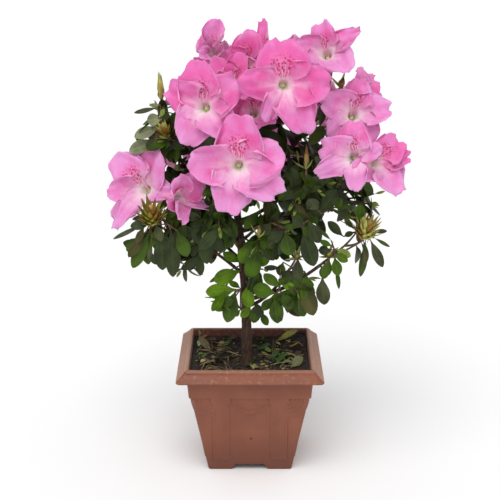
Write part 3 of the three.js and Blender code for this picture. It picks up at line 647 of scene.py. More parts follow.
# A grey-green bloom of algae in patches, mostly half way up.
height = add_node(tree, "ShaderNodeSeparateXYZ", {0: place}).outputs["Z"]
upper = map_range(tree, height, 0.12, 0.16, kind="LINEAR")
patches = product(tree, speckle(tree, place, 60, 0.5, 0.16), upper)
colour = blend_colours(tree, patches, ramp(tree, grain, tones), srgb(128, 118, 88))
tree.links.new(colour, shader.inputs["Base Color"])
bump(tree, shader, grain, 0.7, 0.0006)
make_piece("trunk_wood", wood_bm, bark, "trunk", slot="bark")
make_piece("bough_wood", bough_bm, bark, *["bough_" + name for name in BOUGHS], slot="bark")

# ------------------------------------------------------------------------------- petals
# Each bloom is one soft pink funnel that spreads into five broad waved lobes, whitish green in
# the throat, paler at the margins, with a blotch of deep pink flecks on the upper lobes. Blooms
# stand in trusses of one to three on the ends of the flowering twigs.
# How deep a pink each bloom is varies partly for real from bloom to bloom and is partly painted
# shade: the blooms in shade are set to a deeper hot pink.
TRUSSES = {
    "front": ("front", [
        dict(at=(-8.7, -73, 269), face=(-94, 10), width=84, open=74, roll=3, tint_and_shade=0.3,
             lobes={0: (1.1, 0.92, -8), 1: (1, 0.95, -2), 2: (1, 0.9, 22), 3: (1, 0.92, 16),
                    4: (1.02, 0.9, 12)}),
        dict(at=(3, -30, 301), face=(-84, 34), width=50, open=64, roll=16, tint_and_shade=1),
    ]),
    "front_left": ("top_left", [
        dict(at=(-34, -50, 309), face=(-100, 14), width=76, open=76, roll=10, tint_and_shade=0.6,
             lobes={0: (1.12, 1, 0), 1: (1, 1, 8), 4: (1, 1.05, -14)}),
        dict(at=(-13, -24, 322), face=(-90, 40), width=56, open=58, roll=-20, tint_and_shade=1.2),
    ]),
    "top_left": ("top_left", [
        dict(at=(-28, 0, 342), face=(-104, 34), width=58, open=26, roll=-24, tint_and_shade=0.3,
             lobes={0: (1.25, 0.85, 0), 1: (0.6, 1.1, 0), 2: (0.5, 1.2, 0), 3: (0.6, 1.2, 0),
                    4: (0.85, 0.85, -14)}),
        dict(at=(-3, 4, 334), face=(-88, 34), width=52, open=46, roll=0, tint_and_shade=0.9,
             lobes={0: (1.3, 0.9, 0)}),
    ]),
    "top_right": ("top_right", [
        dict(at=(25, -56, 327), face=(-86, 8), width=80, open=78, roll=3, tint_and_shade=0.9,
             lobes={0: (1.15, 1.3, 0), 1: (1, 0.88, -20), 2: (1.1, 0.8, -16), 3: (0.85, 0.62, 0),
                    4: (1, 0.85, 14)}),
        dict(at=(10, 14, 337), face=(-110, 66), width=44, open=44, roll=4, tint_and_shade=0.5,
             lobes={0: (1.8, 0.36, 0)}),
    ]),
    "upper_right": ("upper_right", [
        dict(at=(60, -22, 345), face=(-104, 30), width=64, open=62, roll=18, tint_and_shade=0.2,
             lobes={0: (0.86, 1.2, 0), 1: (1.3, 0.5, 0)}),
        dict(at=(88, 0, 311), face=(-28, 28), width=54, open=58, roll=10, tint_and_shade=0.5),
    ]),
    "right_front": ("upper_right", [
        dict(at=(80, -30, 299), face=(-84, 22), width=68, open=74, roll=-14, tint_and_shade=0.2),
    ]),
    "right": ("right", [
        dict(at=(80, -54, 271), face=(-98, 12), width=66, open=72, roll=12, tint_and_shade=0.3,
             lobes={1: (0.75, 0.8, 0), 2: (0.9, 0.7, -36), 3: (1.25, 0.5, -40), 4: (1, 1, -8)}),
        dict(at=(96, -40, 264), face=(-62, 20), width=66, open=64, roll=-44, tint_and_shade=0.5,
             lobes={1: (1, 0.8, 24), 2: (1.05, 1, 38), 4: (0.6, 0.8, 0)}),
    ]),
    "left": ("left", [
        dict(at=(-83, -12, 236), face=(-112, 22), width=78, open=66, roll=38, tint_and_shade=0.1,
             lobes={0: (1.1, 1.1, 4), 1: (1, 1, 12), 2: (0.9, 0.7, 14), 3: (1.25, 0.42, -26),
                    4: (0.95, 0.75, -8)}),
        dict(at=(-60, -37, 236), face=(-40, 4), width=54, open=50, roll=20, tint_and_shade=0.4,
             lobes={2: (1.3, 0.36, 0), 1: (1.2, 1.1, 0)}),
    ]),
    "back_left": ("back_left", [
        dict(at=(-74, 32, 252), face=(152, 20), width=68, open=74, roll=10),
        dict(at=(-39, 66, 262), face=(112, 14), width=66, open=78, roll=-16),
        dict(at=(-47, 34, 304), face=(130, 40), width=60, open=70, roll=20),
    ]),
    "back": ("back", [
        dict(at=(7, 77, 278), face=(90, 12), width=70, open=80, roll=4),
        dict(at=(38, 65, 240), face=(70, 4), width=60, open=72, roll=-24),
    ]),
    "back_top": ("back_top", [
        dict(at=(-24, 50, 324), face=(104, 38), width=64, open=72, roll=-10),
        dict(at=(34, 50, 324), face=(76, 32), width=66, open=74, roll=18),
    ]),
    "back_right": ("back_right", [
        dict(at=(66, 44, 290), face=(48, 24), width=68, open=76, roll=8),
        dict(at=(86, 24, 252), face=(22, 10), width=62, open=68, roll=-18),
    ]),
}
BLOOM = {"tube": 17, "tube_radius": 1.7, "throat": 4.0, "fullness": 0.47, "thick": 0.3}
LOBE_COLUMNS, LOBE_ROWS = 20, 32
TUBE_SHARE = 0.28  # of a lobe's rows lie in the tube
PROFILE_ROWS = 60
# How high the folds of a lobe stand, as shares of its waviness.
FOLDS = {"margin": 1.1, "crease": 0.8, "swell": 0.6, "frill": 0.32, "pleat": 0.22}
WAVINESS, RIB_DEPTH, OVERLAP = 0.058, 0.04, 2.3
UP = Vector((0, 0, 1))


def face_frame(face):
    """The axes of a bloom: out along its face, up to its upper lobe, and right."""
    turn, tilt = (math.radians(a) for a in face)
    out = Vector((math.cos(tilt) * math.cos(turn), math.cos(tilt) * math.sin(turn), math.sin(tilt)))
    up = (UP - out * UP.dot(out)).normalized()
    return out, up, up.cross(out)


def lobe_profile(opening, length, reflex, curl):
    """Distance from the axis, depth and slope from the foot of the tube to the tip of a lobe."""
    widening = BLOOM["throat"] - BLOOM["tube_radius"]
    slope = math.atan2(widening, BLOOM["tube"])
    tube_length = math.hypot(widening, BLOOM["tube"])
    spots = [(BLOOM["tube_radius"], -BLOOM["tube"], slope)]
    tube_rows = round(PROFILE_ROWS * TUBE_SHARE)
    lobe_rows = PROFILE_ROWS - tube_rows
    for k in range(PROFILE_ROWS):
        q = (k + 0.5 - tube_rows) / lobe_rows
        step = tube_length / tube_rows if k < tube_rows else length / lobe_rows
        angle = slope * 3 * (k / tube_rows) ** 2
        if q > 0:
            angle = mix(slope, opening - 0.32, smooth_step(0, 0.2, q))
            angle += (0.57 + reflex) * smooth_step(0.3, 0.62, q) + curl * smooth_step(0.7, 1, q)
        r, d, _ = spots[-1]
        spots.append((r + step * math.sin(angle), d + step * math.cos(angle), angle))
    return spots


def column_place(x):
    """Columns stand closer together towards the margins, so that the end of a lobe is round."""
    return mix(x, math.sin(x * math.pi / 2), 0.75)


def lobe_half_width(q, r, length, breadth, share_angle):
    """Half the width of a lobe at a share q of its length from the throat."""
    neighbour = r * math.sin(share_angle) * 1.04
    if q <= 0:
        return neighbour
    full = BLOOM["fullness"] * length * breadth
    swell = mix(neighbour * 0.8, full, smooth_step(0.05, 0.78, q))
    return max(swell, neighbour * (1 - smooth_step(0.3, 0.46, q)) * min(breadth * 1.3, 1))


def add_lobe(bm, uv_layer, tint_and_shade_layer, bloom, k, turns, rng):
    """One lobe with its share of the tube: a grid bent to the profile, ruffled on its margin."""
    out, up, right = face_frame(bloom["face"])
    middle = Vector(bloom["at"])
    stretch, breadth, _ = bloom.get("lobes", {}).get(k, (1, 1, 0))
    axis = math.radians(90 + bloom["roll"] - 72 * k + turns[k])
    # Half the angle to the lobe before and to the one after.
    shares = [math.radians(36 + (turns[k - 1] - turns[k]) / 2)]
    shares.append(math.radians(36 + (turns[k] - turns[(k + 1) % 5]) / 2))
    length = (bloom["width"] / 2 - BLOOM["throat"]) * stretch * rng.uniform(0.94, 1.08)
    breadth *= rng.uniform(0.9, 1.08)
    reflex, curl = rng.uniform(-0.05, 0.1), rng.uniform(-0.3, 0.7)
    profile = lobe_profile(math.radians(bloom["open"]), length, reflex, curl)
    waves = [rng.uniform(0, 6.28) for _ in range(7)]
    cup, twist = rng.uniform(-0.3, 0.35), rng.uniform(-0.1, 0.1)
    offset = Vector([rng.uniform(-50, 50) for _ in range(3)])
    notch, shoulder = rng.uniform(-0.02, 0.05), rng.uniform(0.54, 0.72)
    wavy = WAVINESS * length
    rib_depth = RIB_DEPTH * max(length, 14)
    # The two lower lobes are cooler than the others. Blooms that sit in shade are set to a deeper
    # hot pink, as painted shade, over a real spread of tone between blooms.
    tint_and_shade = bloom.get("tint_and_shade", 0.5) + rng.uniform(-0.2, 0.2) + (-0.35 if k in (2, 3) else 0.15)
    made = bmesh.ops.create_grid(
        bm, x_segments=LOBE_COLUMNS, y_segments=LOBE_ROWS, size=1, calc_uvs=True
    )
    for v in made["verts"]:
        u, share = column_place(v.co.x), (v.co.y + 1) / 2
        q = (share - TUBE_SHARE) / (1 - TUBE_SHARE)
        free = smooth_step(0.08, 0.7, q)
        # The end of a lobe is an arc, often notched, and its margin is uneven.
        along = q
        if q > 0:
            ease = smooth_step(0.3, 1, q)
            along -= q * ease * shoulder * (1 - math.sqrt(1 - (0.98 * u) ** 2))
            along -= ease**2 * notch * math.exp(-((u / 0.28) ** 2))
            along += 0.02 * ease**2 * math.sin(9 * u + waves[6])
            along += 0.012 * ease**2 * math.sin(21 * u + waves[2])
        at = (TUBE_SHARE + along * (1 - TUBE_SHARE)) * (len(profile) - 1) if q > 0 else 0
        at = at or share * (len(profile) - 1)
        i = min(int(at), len(profile) - 2)
        r, d, angle = (mix(a, b, at - i) for a, b in zip(profile[i], profile[i + 1]))
        share_angle = shares[u > 0]
        half = lobe_half_width(q, r, length, breadth, share_angle)
        edge = 1 - (1 - abs(u) ** 2.2) * (1 - max(q, 0) ** 7)
        half *= 1 + 0.045 * free * edge * math.sin(12 * u * q + waves[5])
        swing = u * share_angle * 1.02 if q < 0 else u * math.asin(min(half / r, 0.95))
        ruffle = math.sin(8 * u * q + waves[0]) + 0.5 * math.sin(14 * u * q + waves[1])
        ruffle += 0.5 * math.sin(6 * q + waves[4])
        lift = FOLDS["margin"] * wavy * smooth_step(0.35, 1, q) * edge * ruffle
        lift += FOLDS["swell"] * wavy * free * q * math.sin(3.4 * u + waves[2])
        lift += FOLDS["pleat"] * wavy * free * math.sin(11 * u + 5 * q + waves[3])
        crease = noise.noise(Vector((3.4 * u * q, 3.2 * q, 0)) + offset)
        lift += FOLDS["crease"] * wavy * free * crease
        lift += FOLDS["frill"] * wavy * free * edge * math.sin(23 * u * q + 9 * q + waves[6])
        lift += free * (cup * u * u * half * 0.8 + OVERLAP * u)
        lift -= rib_depth * free * math.exp(-((u / 0.16) ** 2)) * (1 - 0.6 * q)
        r2 = r - lift * math.cos(angle)
        d2 = d + lift * math.sin(angle)
        phi = axis - swing - twist * free * q
        v.co = middle + right * (r2 * math.cos(phi)) + up * (r2 * math.sin(phi)) + out * d2
        v[tint_and_shade_layer] = tint_and_shade
    blotched = 0.5 if k == 0 else 0.0
    for face in {f for v in made["verts"] for f in v.link_faces}:
        for corner in face.loops:
            across = column_place(2 * corner[uv_layer].uv.x - 1)
            corner[uv_layer].uv.x = (across + 1) / 4 + blotched


def own_map(tree):
    """The map of a petal or leaf: across it, then from its foot to its tip."""
    uv = tree.nodes.new("ShaderNodeUVMap")
    uv.uv_map = "OFBake"
    split = add_node(tree, "ShaderNodeSeparateXYZ", {0: uv.outputs["UV"]})
    return uv.outputs["UV"], split.outputs["X"], split.outputs["Y"]


def off_rib(tree, across):
    """The distance from the midrib: 0 on it and 1 on either margin."""
    return math_node(tree, "ABSOLUTE", math_node(tree, "MULTIPLY_ADD", across, 2.0, -1.0))


def stretched(tree, vector, across, length):
    sockets = {"Vector": vector, "Scale": (across, length, 1)}
    return add_node(tree, "ShaderNodeMapping", sockets).outputs["Vector"]


def draw_veins(tree, vein_map, colour, vein_colour):
    """Fine veins along a lobe: their pattern, and the colour with the veins drawn on it."""
    veins = fine_noise(tree, vein_map, 1, 3)
    strength = map_range(tree, veins, 0.42, 0.7, 0.0, 0.3)
    return veins, blend_colours(tree, strength, colour, srgb(*vein_colour))


def let_light_in(shader, weight):
    """A petal is thin and moist, so light spreads a few millimetres inside it."""
    shader.inputs["Subsurface Weight"].default_value = weight
    shader.inputs["Subsurface Radius"].default_value = (0.004, 0.002, 0.003)
    shader.inputs["Subsurface Scale"].default_value = 1.0


def by_place(tree, share, places, *colours):
    """Colours that follow one another along a lobe, from its foot to its tip."""
    return ramp(tree, share, list(zip(places, [srgb(*c) for c in colours])))


petal, tree, shader = node_material("pink_petal", 0.62)
_, doubled, share = own_map(tree)
# The flecked upper lobe has the right half of the map, and the four others share the left one.
flecked = math_node(tree, "GREATER_THAN", doubled, 0.5)
across = math_node(tree, "FRACT", math_node(tree, "MULTIPLY", doubled, 2.0))
from_rib = off_rib(tree, across)
cool = by_place(
    tree, share, (0.0, 0.22, 0.36, 0.5, 0.7, 1.0), (220, 232, 170), (240, 246, 216),
    (246, 232, 234), (236, 176, 214), (224, 132, 196), (228, 156, 212),
)
warm = by_place(
    tree, share, (0.0, 0.22, 0.33, 0.45, 0.7, 1.0), (220, 232, 170), (238, 244, 204),
    (246, 218, 226), (230, 120, 180), (222, 76, 154), (228, 106, 178),
)
# Each bloom's depth of pink: a real spread between blooms, with painted shade as deeper pink on the
# blooms in shade.
tint_and_shade = tree.nodes.new("ShaderNodeAttribute")
tint_and_shade.attribute_name = "tint_and_shade"
cloud = fine_noise(tree, object_place(tree), 90, 4)
patchy = map_range(tree, cloud, 0.3, 0.7, -0.4, 0.4)
base = blend_colours(tree, math_node(tree, "ADD", tint_and_shade.outputs["Fac"], patchy), cool, warm)
rib = product(tree, map_range(tree, from_rib, 0.3, 0.0), 0.4, map_range(tree, share, 0.8, 0.4))
base = blend_colours(tree, rib, base, srgb(252, 216, 230))
margin = product(tree, map_range(tree, from_rib, 0.72, 1.0), 0.35)
base = blend_colours(tree, margin, base, srgb(244, 180, 222))
fan = add_node(tree, "ShaderNodeCombineXYZ", {"X": across, "Y": share}).outputs["Vector"]
veins, base = draw_veins(tree, stretched(tree, fan, 26, 2.2), base, (228, 96, 168))
blotch = product(
    tree, map_range(tree, from_rib, 0.62, 0.3), flecked,
    map_range(tree, share, 0.34, 0.42), map_range(tree, share, 0.78, 0.62),
)
base = blend_colours(tree, product(tree, blotch, 0.45), base, srgb(234, 84, 156))
spots = add_node(
    tree, "ShaderNodeTexVoronoi", {"Vector": stretched(tree, fan, 22, 26), "Scale": 1}
)
fleck = product(tree, map_range(tree, spots.outputs["Distance"], 0.5, 0.34), blotch)
base = blend_colours(tree, fleck, base, srgb(176, 16, 84))
tree.links.new(base, shader.inputs["Base Color"])
let_light_in(shader, 0.15)
shader.inputs["Sheen Weight"].default_value = 0.15
bump(tree, shader, veins, 0.5, 0.001)

# The outside has no flecks and is evenly pink down to the foot of the tube.
petal_back, tree, shader = node_material("pink_petal_outside", 0.62)
whole, _, share = own_map(tree)
outside = by_place(
    tree, share, (0.0, 0.1, 0.4, 0.75, 1.0), (214, 196, 150), (240, 160, 196),
    (242, 124, 182), (244, 148, 202), (246, 166, 214),
)
veins, outside = draw_veins(tree, stretched(tree, whole, 52, 2.2), outside, (230, 100, 168))
let_light_in(shader, 0.1)
tree.links.new(outside, shader.inputs["Base Color"])
bump(tree, shader, veins, 0.35, 0.0006)

petal_points, petal_faces = [], []
for order, (name, (_, blooms)) in enumerate(TRUSSES.items()):
    petal_bm = bmesh.new()
    uv_layer = petal_bm.loops.layers.uv.new("OFBake")
    tint_and_shade_layer = petal_bm.verts.layers.float.new("tint_and_shade")
    for number, bloom in enumerate(blooms):
        rng = random.Random(100 + 10 * order + number)
        own = bloom.get("lobes", {})
        turns = [own.get(k, (1, 1, 0))[2] + rng.uniform(-4, 4) for k in range(5)]
        for k in range(5):
            add_lobe(petal_bm, uv_layer, tint_and_shade_layer, bloom, k, turns, rng)
    petal_bm.verts.index_update()
    first = len(petal_points)
    petal_points += [v.co.copy() for v in petal_bm.verts]
    petal_faces += [[first + v.index for v in f.verts] for f in petal_bm.faces]
    made = make_piece("petals_" + name, petal_bm, petal, "blossom_" + name, slot="petals")
    wall = made.modifiers.new("thickness", "SOLIDIFY")
    wall.thickness = BLOOM["thick"] * MM
    wall.offset = -1
    made.data.materials.append(petal_back)
    wall.material_offset = 1
petal_tree = BVHTree.FromPolygons(petal_points, petal_faces)

# ------------------------------------------------------------------------------- stamens
# From the throat of each bloom rise a few curved pale pink filaments with dark anthers, and one
# longer style that ends in a small sticky knob.
STAMENS = {"each_side": 3, "reach": (14, 20), "style": 24, "radius": 0.28, "style_radius": 0.38}
filaments = Limbs(6)
anther_bm = bmesh.new()
ovary_bm = bmesh.new()
for order, (name, (_, blooms)) in enumerate(TRUSSES.items()):
    for number, bloom in enumerate(blooms):
        rng = random.Random(900 + 10 * order + number)
        out, up, right = face_frame(bloom["face"])
        middle = Vector(bloom["at"])
        scale = bloom["width"] / 80
        roll = math.radians(bloom["roll"])
        crest = up * math.cos(roll) - right * math.sin(roll)
        for k in range(-STAMENS["each_side"], STAMENS["each_side"] + 1):
            aside, style = k / STAMENS["each_side"], k == 0
            reach = (STAMENS["style"] if style else rng.uniform(*STAMENS["reach"])) * scale
            root = middle - out * 9 + right * (1.2 * aside)
            bend = middle + out * (6 * scale) + crest * (0.1 * reach) + right * (2 * aside)
            tip = middle + out * rng.uniform(8, 11) * scale + crest * (0.8 * reach)
            tip += right * (aside * 7 * scale + rng.uniform(-1.5, 1.5))
            curve = [root, bend, tip]
            radius = STAMENS["style_radius" if style else "radius"]
            filaments.add([bezier(curve, t) for t in along(9)], [radius] * 10)
            lie = (tip - bend).cross(right).to_track_quat("Z", "Y").to_matrix().to_4x4()
            size = Matrix.Diagonal((0.5, 0.5, 0.5 if style else 0.95, 1))
            bmesh.ops.create_icosphere(
                anther_bm, subdivisions=2, radius=1, matrix=Matrix.Translation(tip) @ lie @ size
            )
        # The pale ovary closes the foot of the throat.
        bmesh.ops.create_icosphere(
            ovary_bm, subdivisions=2, radius=2.4 * min(scale, 1) + 0.2,
            matrix=Matrix.Translation(middle - out * 5.2),
        )
filament_bm = filaments.mesh()
for name, bm, skin in (
    ("filaments", filament_bm, mottled_material(
        "filament", 0.5, 900, (242, 176, 206), (250, 204, 222), edge=0.4, relief=(0.2, 0.0003))),
    ("ovaries", ovary_bm, mottled_material(
        "ovary", 0.7, 900, (190, 206, 140), (220, 226, 176), edge=0.4, relief=(0.4, 0.0004))),
    ("anthers", anther_bm, mottled_material(
        "anther", 0.6, 2500, (76, 30, 50), (118, 66, 76), edge=0.4, relief=(0.4, 0.0004))),
):
    make_piece(name, bm, skin, slot="petals")

# ------------------------------------------------------------------------------- flowering twigs
# A truss grows from the side of its bough near the tip: a short stem forks into green hairy
# pedicels, and each swells into a small calyx that holds the foot of its bloom.
pedicels = Limbs(8)
for name, (bough, blooms) in TRUSSES.items():
    root = bezier(boughs[bough], 0.93)
    tangent = (bezier(boughs[bough], 0.94) - root).normalized()
    feet = [Vector(b["at"]) - face_frame(b["face"])[0] * (BLOOM["tube"] + 0.6) for b in blooms]
    mean = sum(feet, Vector()) / len(feet)
    fork = root.lerp(mean, 0.55 if len(feet) > 1 else 0.4)
    stem = [root, root.lerp(fork, 0.5) + tangent * 1.5, fork]
    pedicels.add([bezier(stem, t) for t in along(12)], [mix(1.4, 1.2, t) for t in along(12)])
    for foot, bloom in zip(feet, blooms):
        out = face_frame(bloom["face"])[0]
        control = foot - out * (0.45 * (fork - foot).length)
        curve = [fork - (foot - fork).normalized() * 0.8, fork.lerp(control, 0.5), control, foot]
        points = [bezier(curve, t) for t in along(20)] + [foot + out * x for x in (1.5, 3, 4)]
        pedicels.add(points, [1.0] * 18 + [1.1, 1.5, 2.2, 2.5, 2.3, 1.9])
green_skin = mottled_material(
    "green_pedicel", 0.7, 350, (96, 112, 58), (136, 132, 82), detail=4, relief=(0.4, 0.0004)
)
make_piece("pedicels", pedicels.mesh(), green_skin, slot="leaves")

# ------------------------------------------------------------------------------- twigs and leaves
# Leathery oval leaves crowd in whorls below the buds of short twigs. Each mass grows from the
# tip of its bough, or from the trunk, and keeps to an ellipsoid of its own.
# Columns: trunk height or None, middle, half sizes, twigs, droop, and the greens of its sprays.
# The masses round the trunk and low in the crown take the two lightest greens, partly painted
# backlight.
MASSES = {
    "trunk_left": (166, (-22, -9, 153), (24, 18, 33), 1, 0.6, "bright bright fresh"),
    "trunk_front": (174, (3, -17, 164), (18, 16, 34), 1, 0.8, "bright fresh mid"),
    "low_centre": (None, (32, -17, 157), (32, 18, 38), 3, 0.8, "fresh mid mid"),
    "low_right": (None, (79, -25, 195), (36, 20, 32), 1, 0.5, "mid fresh dusky"),
    "low_left": (None, (-50, -14, 187), (30, 20, 33), 4, 0.8, "mid dark dusky"),
    "left": (None, (-78, -24, 208), (38, 25, 36), 6, 0.6, "dark dusky mid"),
    "centre_left": (None, (-31, -27, 214), (28, 18, 34), 8, 0.5, "dark dark mid"),
    "upper_left": (None, (-68, -6, 282), (34, 24, 36), 9, 0.1, "dusky dark mid"),
    "centre": (None, (12, -27, 206), (26, 18, 34), 6, 0.5, "dark mid mid"),
    "centre_right": (None, (45, -25, 242), (30, 20, 42), 14, 0.4, "dark dark mid"),
    "right": (None, (84, -10, 228), (34, 20, 26), 4, 0.2, "dark dusky mid"),
    "top_left": (None, (-24, 0, 314), (28, 22, 28), 6, 0, "dark dusky mid"),
    "top_right": (None, (22, -10, 316), (30, 26, 28), 6, 0, "dark dusky mid"),
    "back_low_left": (None, (-42, 30, 192), (30, 24, 32), 8, 0.6, "mid dark dusky"),
    "back_low": (None, (28, 42, 192), (34, 26, 34), 9, 0.7, "mid fresh dark"),
    "back_left": (None, (-62, 44, 234), (30, 26, 34), 9, 0.4, "dark dusky mid"),
    "back": (None, (-10, 58, 234), (32, 24, 36), 9, 0.4, "dark dusky mid"),
    "back_right": (None, (62, 42, 232), (32, 26, 36), 9, 0.4, "dark dusky mid"),
    "back_top": (None, (2, 40, 304), (34, 24, 28), 6, 0, "dark dusky mid"),
}
# Sprays that hang clear of the crown: mass, end of the twig, then each leaf seen from in front:
# its foot and its tip, across and up, its breadth and its green.
SPRAYS = (
    ("left", (-79, -36, 215), [
        (-84, 214, -109, 202, 4, "dusky"), (-83, 207, -97, 188, 8, "bronze"),
        (-80, 207, -94, 178, 11, "mid"), (-78, 198, -81, 186, 4, "dusky"),
        (-79, 214, -95, 213, 8, "dark"), (-84, 212, -90, 200, 6, "bronze"),
    ]),
    ("left", (-65, -37, 214), [
        (-71, 209, -70, 177, 13, "dark"), (-63, 210, -60, 171, 13, "dark"),
        (-58, 209, -50, 188, 11, "mid"), (-75, 214, -70, 202, 8, "dusky"),
    ]),
    ("low_left", (-38, -28, 214), [
        (-42, 207, -46, 185, 8, "dark"), (-38, 210, -34, 180, 13, "dark"),
        (-31, 206, -23, 189, 10, "dark"), (-46, 214, -38, 196, 11, "dark"),
        (-52, 216, -56, 196, 8, "mid"),
    ]),
    ("low_left", (-13, -13, 194), [
        (-14, 195, -32, 209, 14, "dark"), (-11, 198, -23, 211, 8, "mid"),
    ]),
    ("trunk_left", (-7, -5, 171), [
        (-8, 173, -22, 182, 8, "bright"), (-8, 166, -30, 159, 13, "bright"),
        (-16, 167, -34, 157, 4, "fresh"),
    ]),
    ("trunk_left", (-8, -6, 150), [
        (-11, 150, -37, 148, 14, "bright"), (-12, 149, -19, 123, 13, "mid"),
        (-15, 145, -28, 130, 10, "bright"), (-8, 151, -17, 159, 6, "fresh"),
        (-8, 132, -14, 128, 6, "bright"), (-12, 144, -24, 138, 9, "fresh"),
    ]),
    ("trunk_front", (3, -14, 192), [
        (-2, 192, -8, 175, 11, "bright"), (7, 188, -1, 164, 14, "fresh"),
        (13, 189, 10, 172, 10, "bright"), (13, 197, 20, 183, 10, "dark"),
        (2, 197, -3, 182, 11, "fresh"),
    ]),
    ("trunk_front", (-1, -9, 155), [
        (-1, 156, -2, 135, 12, "bright"),
    ]),
    ("trunk_front", (3, -8, 138), [
        (6, 139, 3, 122, 10, "mid"), (0, 136, -7, 128, 8, "bright"), (9, 131, 15, 120, 7, "fresh"),
        (4, 140, 10, 128, 8, "dark"),
    ]),
    ("low_centre", (24, -20, 154), [
        (21, 151, 2, 156, 13, "fresh"), (25, 156, 11, 170, 9, "fresh"),
        (25, 173, 11, 174, 5, "dark"), (20, 148, 22, 127, 13, "mid"), (18, 148, 10, 137, 8, "mid"),
        (26, 152, 34, 139, 10, "mid"), (25, 159, 36, 157, 7, "bright"),
    ]),
    ("low_centre", (38, -17, 170), [
        (35, 152, 45, 130, 12, "mid"), (43, 161, 52, 133, 14, "bronze"),
        (45, 169, 43, 147, 15, "fresh"), (32, 172, 28, 160, 9, "dark"),
        (39, 181, 39, 160, 10, "dusky"), (34, 166, 38, 150, 10, "mid"),
        (27, 177, 24, 166, 8, "mid"),
    ]),
    ("low_right", (59, -22, 173), [
        (59, 166, 60, 141, 12, "dusky"), (61, 178, 60, 166, 9, "fresh"),
    ]),
    ("centre", (30, -35, 209), [
        (28, 207, 32, 188, 13, "mid"), (28, 208, 14, 202, 10, "dark"), (41, 212, 26, 212, 5, "mid"),
        (17, 215, 9, 206, 9, "dark"),
    ]),
    ("centre", (43, -36, 215), [
        (42, 209, 51, 180, 14, "dark"), (46, 217, 55, 200, 11, "dark"),
        (40, 212, 50, 205, 8, "mid"), (33, 221, 41, 214, 9, "dark"),
    ]),
    ("low_right", (68, -30, 191), [
        (69, 192, 81, 186, 7, "young"), (68, 188, 78, 183, 7, "bright"),
        (64, 184, 60, 168, 9, "mid"), (68, 185, 71, 171, 9, "fresh"), (69, 178, 73, 158, 4, "mid"),
        (66, 194, 56, 200, 5, "fresh"), (65, 191, 55, 191, 8, "dark"), (65, 199, 56, 209, 3, "mid"),
    ]),
    ("low_right", (86, -26, 205), [
        (75, 201, 62, 214, 8, "dark"), (84, 208, 76, 215, 4, "dark"), (84, 205, 76, 202, 5, "dark"),
        (85, 214, 64, 225, 3, "mid"), (85, 213, 69, 225, 3, "mid"), (87, 214, 88, 229, 9, "fresh"),
        (93, 198, 91, 166, 7, "mid"), (97, 198, 107, 177, 8, "dusky"),
        (98, 205, 110, 206, 4, "bronze"), (100, 200, 112, 194, 3, "mid"),
    ]),
    ("upper_left", (-72, -11, 280), [
        (-73, 303, -92, 299, 4, "dusky"), (-71, 305, -79, 306, 3, "sage"),
        (-70, 294, -82, 293, 10, "sage"), (-72, 287, -92, 281, 10, "sage"),
        (-75, 277, -97, 268, 11, "sage"), (-72, 278, -83, 271, 9, "dusky"),
        (-59, 282, -58, 295, 8, "dark"), (-72, 295, -67, 303, 4, "young"),
        (-66, 279, -54, 270, 10, "dark"), (-68, 279, -65, 268, 8, "dark"),
        (-74, 285, -78, 275, 7, "bronze"),
    ]),
    ("centre_right", (69, -42, 262), [
        (68, 266, 50, 267, 10, "dusky"), (66, 262, 56, 256, 9, "dark"),
    ]),
    ("right", (57, -34, 222), [
        (56, 223, 69, 242, 13, "dark"), (67, 227, 72, 235, 7, "mid"), (63, 227, 81, 228, 3, "mid"),
        (54, 225, 46, 235, 11, "dusky"),
    ]),
)
LEAF = {
    "length": (20, 34), "breadth": 0.41, "per_twig": 6, "spacing": 2.2, "spread": (40, 105),
    "tries": 14, "lowest": 92,
}
YOUNG_LEAF = {"length": (6, 11), "breadth": 2.4}
GOLDEN_ANGLE, GOLDEN_SHARE = math.radians(137.508), 0.618
# The two lightest greens are partly the leaves' own lighter green and partly painted light: the
# glow of light shining through them from behind.
GREENS = {
    "bright": (86, 119, 6), "fresh": (64, 93, 6), "mid": (55, 77, 12), "dark": (47, 59, 27),
    "dusky": (68, 74, 44), "sage": (124, 130, 96), "bronze": (70, 68, 32), "young": (132, 150, 70),
}
LEAF_COLUMNS, LEAF_ROWS = 4, 9

leaf_bm = bmesh.new()
leaf_uv = leaf_bm.loops.layers.uv.new("OFBake")
bmesh.ops.create_grid(leaf_bm, x_segments=LEAF_COLUMNS, y_segments=LEAF_ROWS, size=1, calc_uvs=True)
leaf_bm.verts.index_update()
# The rows stand closer together towards the tip.
leaf_share = 1 - (0.5 - np.array([v.co.y for v in leaf_bm.verts]) / 2) ** 1.35
leaf_across = np.array([v.co.x for v in leaf_bm.verts])
leaf_faces = np.array([[v.index for v in f.verts] for f in leaf_bm.faces])
leaf_uvs = np.array([corner[leaf_uv].uv[:] for f in leaf_bm.faces for corner in f.loops])
leaf_bm.free()
# An oval with its widest part past the middle and a short point, on a narrow stalk.
blade = np.clip((leaf_share - 0.05) / 0.95, 0, 1)
leaf_outline = np.where(
    blade < 0.56,
    np.sin(math.pi / 2 * np.clip(blade / 0.56, 0, 1)) ** 1.1,
    np.clip(1 - (np.clip(blade - 0.56, 0, 1) / 0.44) ** 2.1, 0, 1) ** 0.7,
)
leaf_outline = np.maximum(leaf_outline, 0.07 * (leaf_share < 0.3))
# Bud scales and young leaves are widest low down and end in a point.
pointed = np.minimum(leaf_share / 0.3, 1) ** 0.5 * ((1 - leaf_share) / 0.7).clip(0.03, 1) ** 0.8


